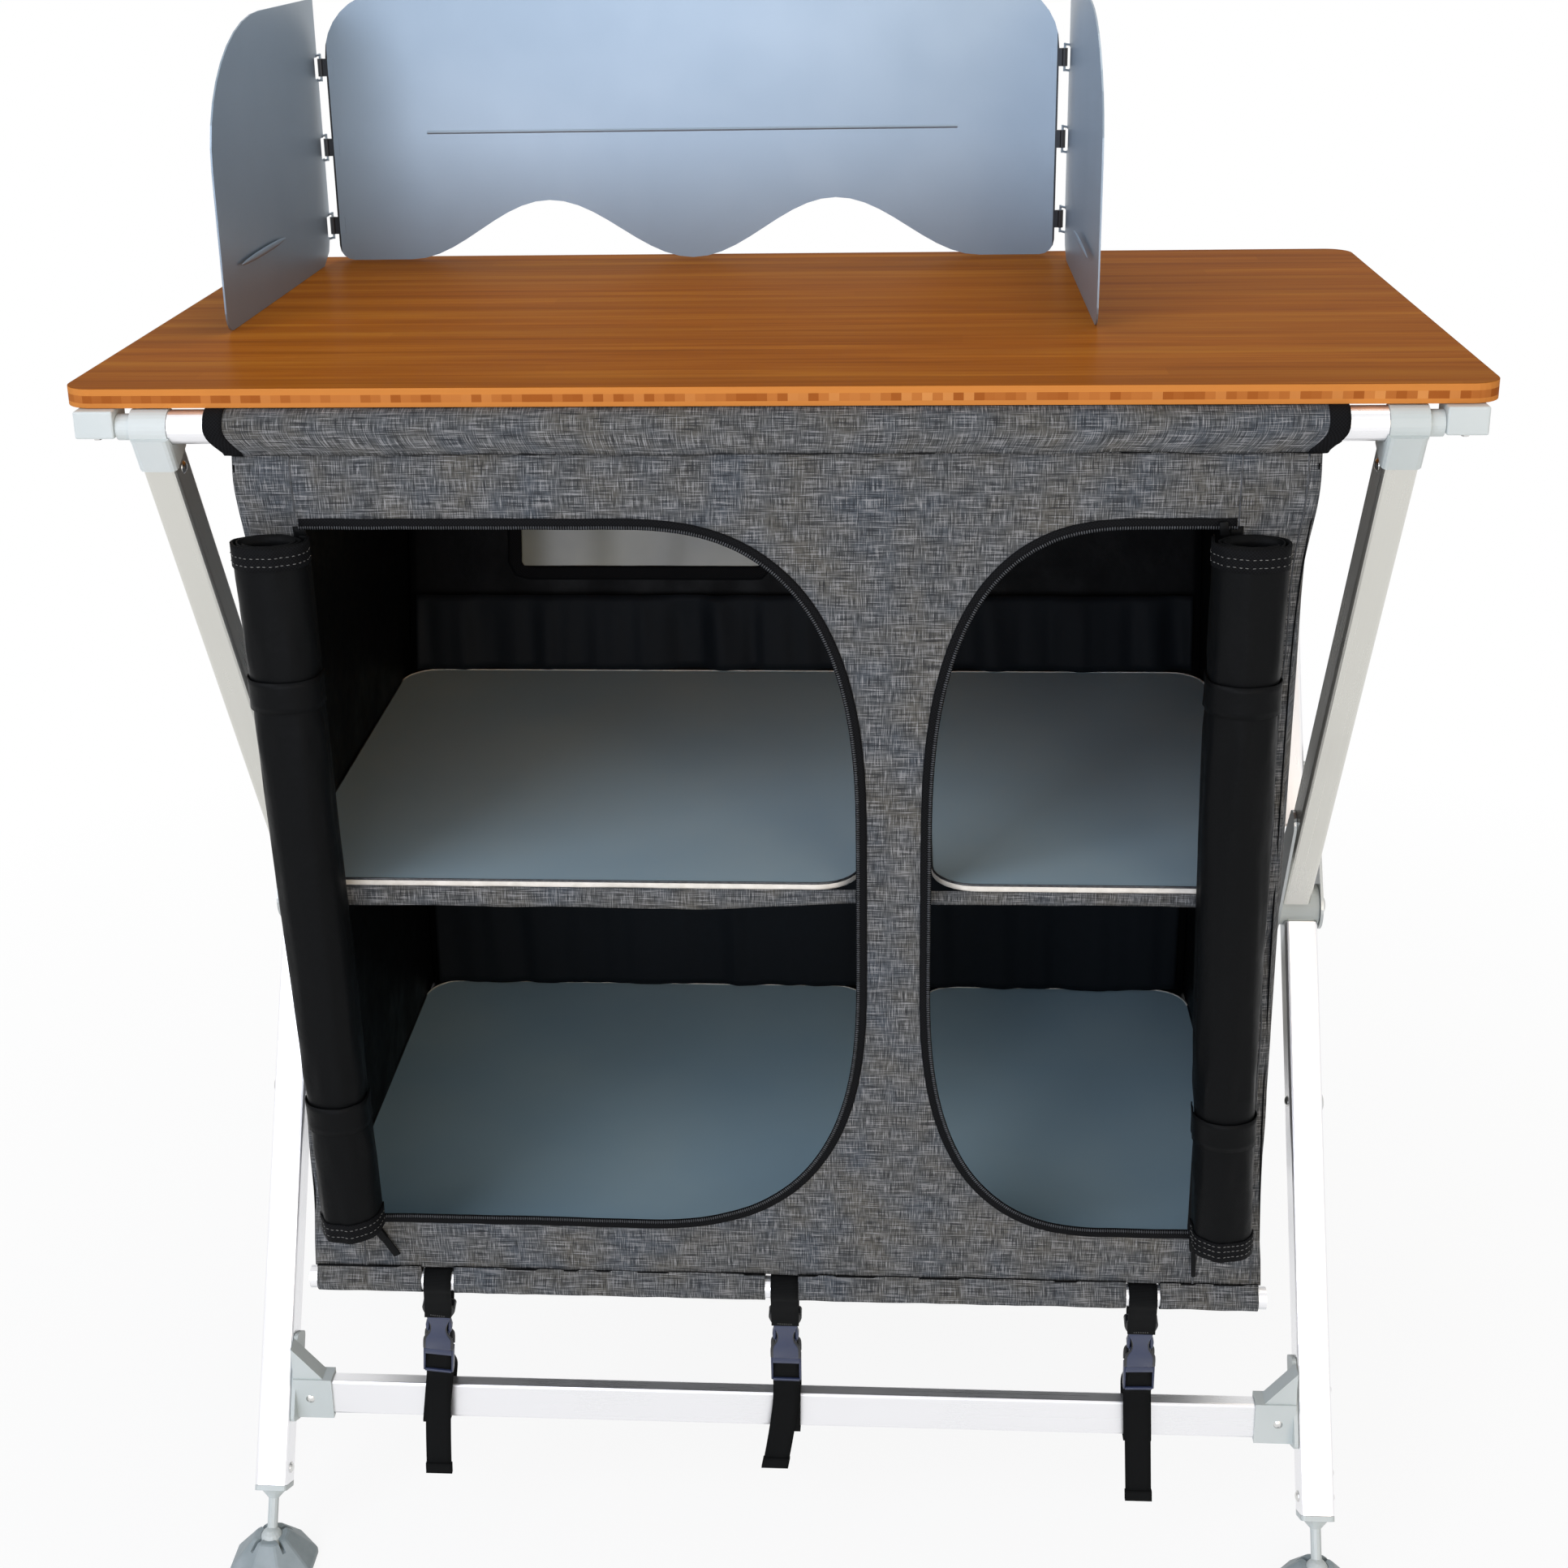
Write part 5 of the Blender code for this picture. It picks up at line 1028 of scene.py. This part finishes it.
for side, word, low_rows in ((-1, "left", (0.0053, 0.0112)), (1, "right", (0.0045, 0.0090, 0.0130))):

    def rolled(u, v):
        return roll_spot(side, u + spiral_long / 2, ROLL_MID + side * v)

    roll_size = (spiral_long, ROLL_TALL)
    cloth = sewn(f"rolled_door_{word}", roll_size, (0.0042, 0.0058), rolled, [coated], thick=0.0009)
    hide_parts(f"door_roll_{word}")
    with_it = []
    for band_word, level, high, raised, finish in (
        ("hem_top", ROLL_TOP - 0.0078, 0.0150, 0.0010, tape),
        ("hem_base", ROLL_BASE + 0.0078, 0.0150, 0.0010, tape),
        ("tie_1", TIES[0], 0.0215, 0.0019, coated), ("tie_2", TIES[1], 0.0215, 0.0019, coated),
    ):
        with_it.append(sewn(
            f"door_{band_word}_{word}", (0.119, high), (0.0035, 0.0040),
            lambda u, v: roll_spot(side, u + 0.0635, level + side * v), [finish], thick=0.0009, raised=raised,
        ))
    stitches = bmesh.new()
    for level in (ROLL_TOP - 0.0065, ROLL_TOP - 0.0118, *(ROLL_BASE + row for row in low_rows)):
        row = [(end - spiral_long / 2, (level - ROLL_MID) * side) for end in (0.008, 0.118)]
        stitch = (STITCH_PITCH * 0.33, 0.00030, 0.00028)
        beaded(stitches, rolled, row, STITCH_PITCH, stitch, 0.00115, first=0.5)
    with_it.append(shown(f"door_stitches_{word}", stitches, [thread]))
    cupboard_swing(cloth, *with_it)


# Straps: black polyester webbing, 20 mm wide, from the hem tube to the front rail, each with a black acetal
# buckle.
# The upper loop is sewn to the buckle's socket, and the lower one goes round the rail, with a loose tail.
# The webbing is woven in ribs 0.75 mm apart, which lie across it and catch the light in rows.
webbing, tree, shader, place = new_finish("ribbed_webbing", "#0B0C0C", 0.75, specular=0.08)
flat = add(tree, "UVMap", uv_map="cut")
rows = add(tree, "Mapping", {"Vector": flat, "Scale": (0.0020, 0.0012, 1)}, vector_type="TEXTURE")
wave = add(tree, "TexWave", {"Vector": rows, "Scale": 0.5, "Distortion": 0.6}, bands_direction="Y")
ribs = wave.node.outputs["Fac"]
add(tree, "ValToRGB", {"Fac": ribs}, [(0.1, "#060707"), (0.9, "#131415")], shader["Base Color"])
add(tree, "Bump", {"Height": ribs, "Distance": 0.0003, "Strength": 0.7}, feeds=shader["Normal"])

# Buckles are moulded black acetal; the tongue and the socket's face are painted slate blue, as a painted
# reflection of the light on their flat faces, on a black socket.
# A faint orange-peel, 0.8 mm from crest to crest, softens the shine.
painted_sheen = new_finish("painted_sheen_acetal", "#2B3450", 0.36)
painted_sheen = noisy(painted_sheen, wear=(1200.0, 2.0, 0.3, 0.46), depth=0.00004)
black_acetal = noisy(new_finish("black_acetal", "#0F1115", 0.34), wear=(1200.0, 2.0, 0.28, 0.42))

DOWN = Vector((0, 0.3006, -0.95375))
FRONT = Vector((0, -0.95375, -0.3006))
WEB_WIDE = 0.0200
RAIL_FACE = -0.1864
# Half outlines of the buckle's parts, as (across, down) from the hem tube's axis.
SOCKET = [
    (0.0086, 0.0262), (0.0112, 0.0274), (0.0121, 0.0304), (0.0112, 0.0347), (0.0092, 0.0395),
    (0.0074, 0.0450), (0.0063, 0.0520), (0.0066, 0.0580), (0.0088, 0.0625), (0.0108, 0.0660),
    (0.0114, 0.0710), (0.0114, 0.0798),
]
SOCKET_FACE = [
    (0.0091, 0.0398), (0.0074, 0.0450), (0.0058, 0.0500), (0.0054, 0.0545), (0.0063, 0.0600),
    (0.0086, 0.0652), (0.0094, 0.0700), (0.0094, 0.0792),
]
PRONG = [
    (0.0072, 0.0462), (0.0088, 0.0485), (0.0098, 0.0530), (0.0096, 0.0575), (0.0080, 0.0615),
    (0.0070, 0.0560), (0.0069, 0.0500),
]
ARM = [(0.0062, 0.0590), (0.0078, 0.0590), (0.0078, 0.0800), (0.0062, 0.0800)]
LADDER = (  # across from, to, down from, to, back, face
    (-0.0113, -0.0097, 0.0802, 0.1078, -0.0030, 0.0034), (0.0097, 0.0113, 0.0802, 0.1078, -0.0030, 0.0034),
    (-0.0100, 0.0100, 0.0802, 0.0862, -0.0030, 0.0042), (-0.0100, 0.0100, 0.0925, 0.0950, -0.0030, -0.0008),
    (-0.0100, 0.0100, 0.1056, 0.1078, 0.0020, 0.0042),
)


def moulded(shape, outline, back, face, host):
    """Adds a flat moulding with an outline of (across, down) points, between two levels off the strap."""
    cut_plate(shape, [host(down, face, across) for across, down in outline], FRONT * (back - face))


def both_sides(side):
    """A closed outline from its right-hand side."""
    rounded = [(point.x, point.y) for point in smooth_line([(across, down, 0) for across, down in side], 3)]
    return [*rounded, *((-across, down) for across, down in reversed(rounded))]


def buckle_piece(name, shape, finish, body, rounding=0.0006):
    """A moulded piece of a buckle with its edges rounded."""
    piece = shown(name, shape, [finish], body)
    edge = piece.modifiers.new("rounding", "BEVEL")
    edge.width, edge.segments, edge.limit_method = rounding, 2, "ANGLE"
    return piece


for word, x, splay, end_z, end_x in (  # how far the strap leans outwards, and where its loose end hangs
    ("left", -0.2505, -0.125, 0.0596, 0.0062), ("middle", 0.0022, -0.015, 0.0735, -0.0090),
    ("right", 0.258, 0.043, 0.0525, 0.0),
):
    hem_point = Vector((x, HEM_Y, HEM_Z))
    tongue_body = f"tongue_{word}"

    def strap_point(down, front, across=0.0):
        leaning = Vector((across + splay * down, -splay * across * 0.3, splay * across))
        return hem_point + DOWN * down + FRONT * front + leaning

    def web_laid(centre, u, shift=0.0):
        """A point across the webbing at a point of its run, which splays outwards as it comes down."""
        out = splay * max(0.0, HEM_Z - centre.z) / -DOWN.z
        return Vector((x + out + shift + u, centre.y, centre.z))

    run = [(0.0386, 0.0050), (0.0300, 0.0051), (0.0200, 0.0060), (0.0110, 0.0076)]
    run += arc((0, 0), HEM_REACH, range(60, 306, 10))
    run += [(0.0110, -0.0066), (0.0200, -0.0056), (0.0300, -0.0050), (0.0370, -0.0050)]
    long, loop_at = follow([strap_point(*point) for point in run])
    web = sewn(
        f"strap_loop_{word}", (WEB_WIDE, long), (0.0050, 0.0022),
        lambda u, v: web_laid(loop_at(v + long / 2)[0], u), [webbing], "frame_a", 0.0013, raised=0.0005,
    )
    stitches = bmesh.new()
    row = [(-0.0060, 0.0347), (0.0060, 0.0350)]
    stitch = (0.0016 * 0.33, 0.00030, 0.00028)
    beaded(stitches, lambda u, v: strap_point(v, 0.0066, u), row, 0.0016, stitch, 0.0, first=0.5)
    sewing = shown(f"strap_stitches_{word}", stitches, [thread], "frame_a")

    socket = bmesh.new()
    for outline, back, face in (
        (SOCKET, -0.0041, -0.0030), (SOCKET, 0.0030, 0.0041), (SOCKET[:6], -0.0030, 0.0030),
    ):
        moulded(socket, both_sides(outline), back, face, strap_point)
    housing = buckle_piece(f"buckle_socket_{word}", socket, black_acetal, "frame_a", 0.0012)
    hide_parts(f"strap_socket_{word}")
    front = bmesh.new()
    moulded(front, both_sides(SOCKET_FACE), 0.0030, 0.0047, strap_point)
    buckle_piece(f"buckle_face_{word}", front, painted_sheen, "frame_a")

    prongs = bmesh.new()
    for way in (-1, 1):
        for outline, half in ((PRONG, 0.0026), (ARM, 0.0022)):
            moulded(prongs, [(way * across, down) for across, down in outline], -half, half, strap_point)
    buckle_piece(f"buckle_prongs_{word}", prongs, painted_sheen, tongue_body, 0.0008)
    ladder = bmesh.new()
    for left, right, high, low, back, face in LADDER:
        moulded(ladder, [(left, high), (right, high), (right, low), (left, low)], back, face, strap_point)
    tongue = buckle_piece(f"buckle_tongue_{word}", ladder, painted_sheen, tongue_body)
    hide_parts(f"strap_tongue_{word}")

    run = [strap_point(0.0900, -0.0012), strap_point(0.0990, 0.0004), strap_point(0.1066, -0.0002)]
    run += [
        (x, y, z)
        for y, z in (
            (RAIL_FACE, 0.1500), (RAIL_FACE, 0.1340), (RAIL_FACE, 0.1070), (RAIL_FACE + 0.0020, 0.1034),
            (RAIL_FACE + 0.0060, 0.1028), (-0.1690, 0.1028), (-0.1668, 0.1046), (-0.1664, 0.1090),
            (-0.1666, 0.1340), (-0.1700, 0.1480),
        )
    ]
    rail_long, rail_at = follow(smooth_line([*run, strap_point(0.0955, -0.0040)], 4))
    web = sewn(
        f"strap_rail_loop_{word}", (0.0208, rail_long), (0.0050, 0.0025),
        lambda u, v: web_laid(rail_at(v + rail_long / 2)[0], -u), [webbing], tongue_body, 0.0012,
        raised=0.0006,
    )

    run = [strap_point(0.0886, 0.0004), strap_point(0.0990, 0.0018), strap_point(0.1066, 0.0012)]
    hanging = ((0.0026, 0.15), (0.0030, 0.13), (0.0032, 0.1), (0.0040, end_z))
    run += [(x, RAIL_FACE - off, z) for off, z in hanging]
    tail_long, tail_at = follow(smooth_line(run, 5))

    def tail_laid(u, along):
        share = max(0.0, along / tail_long - 0.3) / 0.7
        return web_laid(tail_at(along)[0], -u, end_x * share ** 1.5)

    tail_size = (0.0194, tail_long)
    tail = sewn(
        f"strap_tail_{word}", tail_size, (0.0048, 0.0030), lambda u, v: tail_laid(u, v + tail_long / 2),
        [webbing], tongue_body, 0.0012, raised=0.0006,
    )
    fold = sewn(
        f"strap_tail_fold_{word}", (0.0204, 0.0090), (0.0034, 0.0030),
        lambda u, v: tail_laid(u, v + tail_long - 0.0048), [webbing], tongue_body, 0.0030, raised=0.0016,
    )
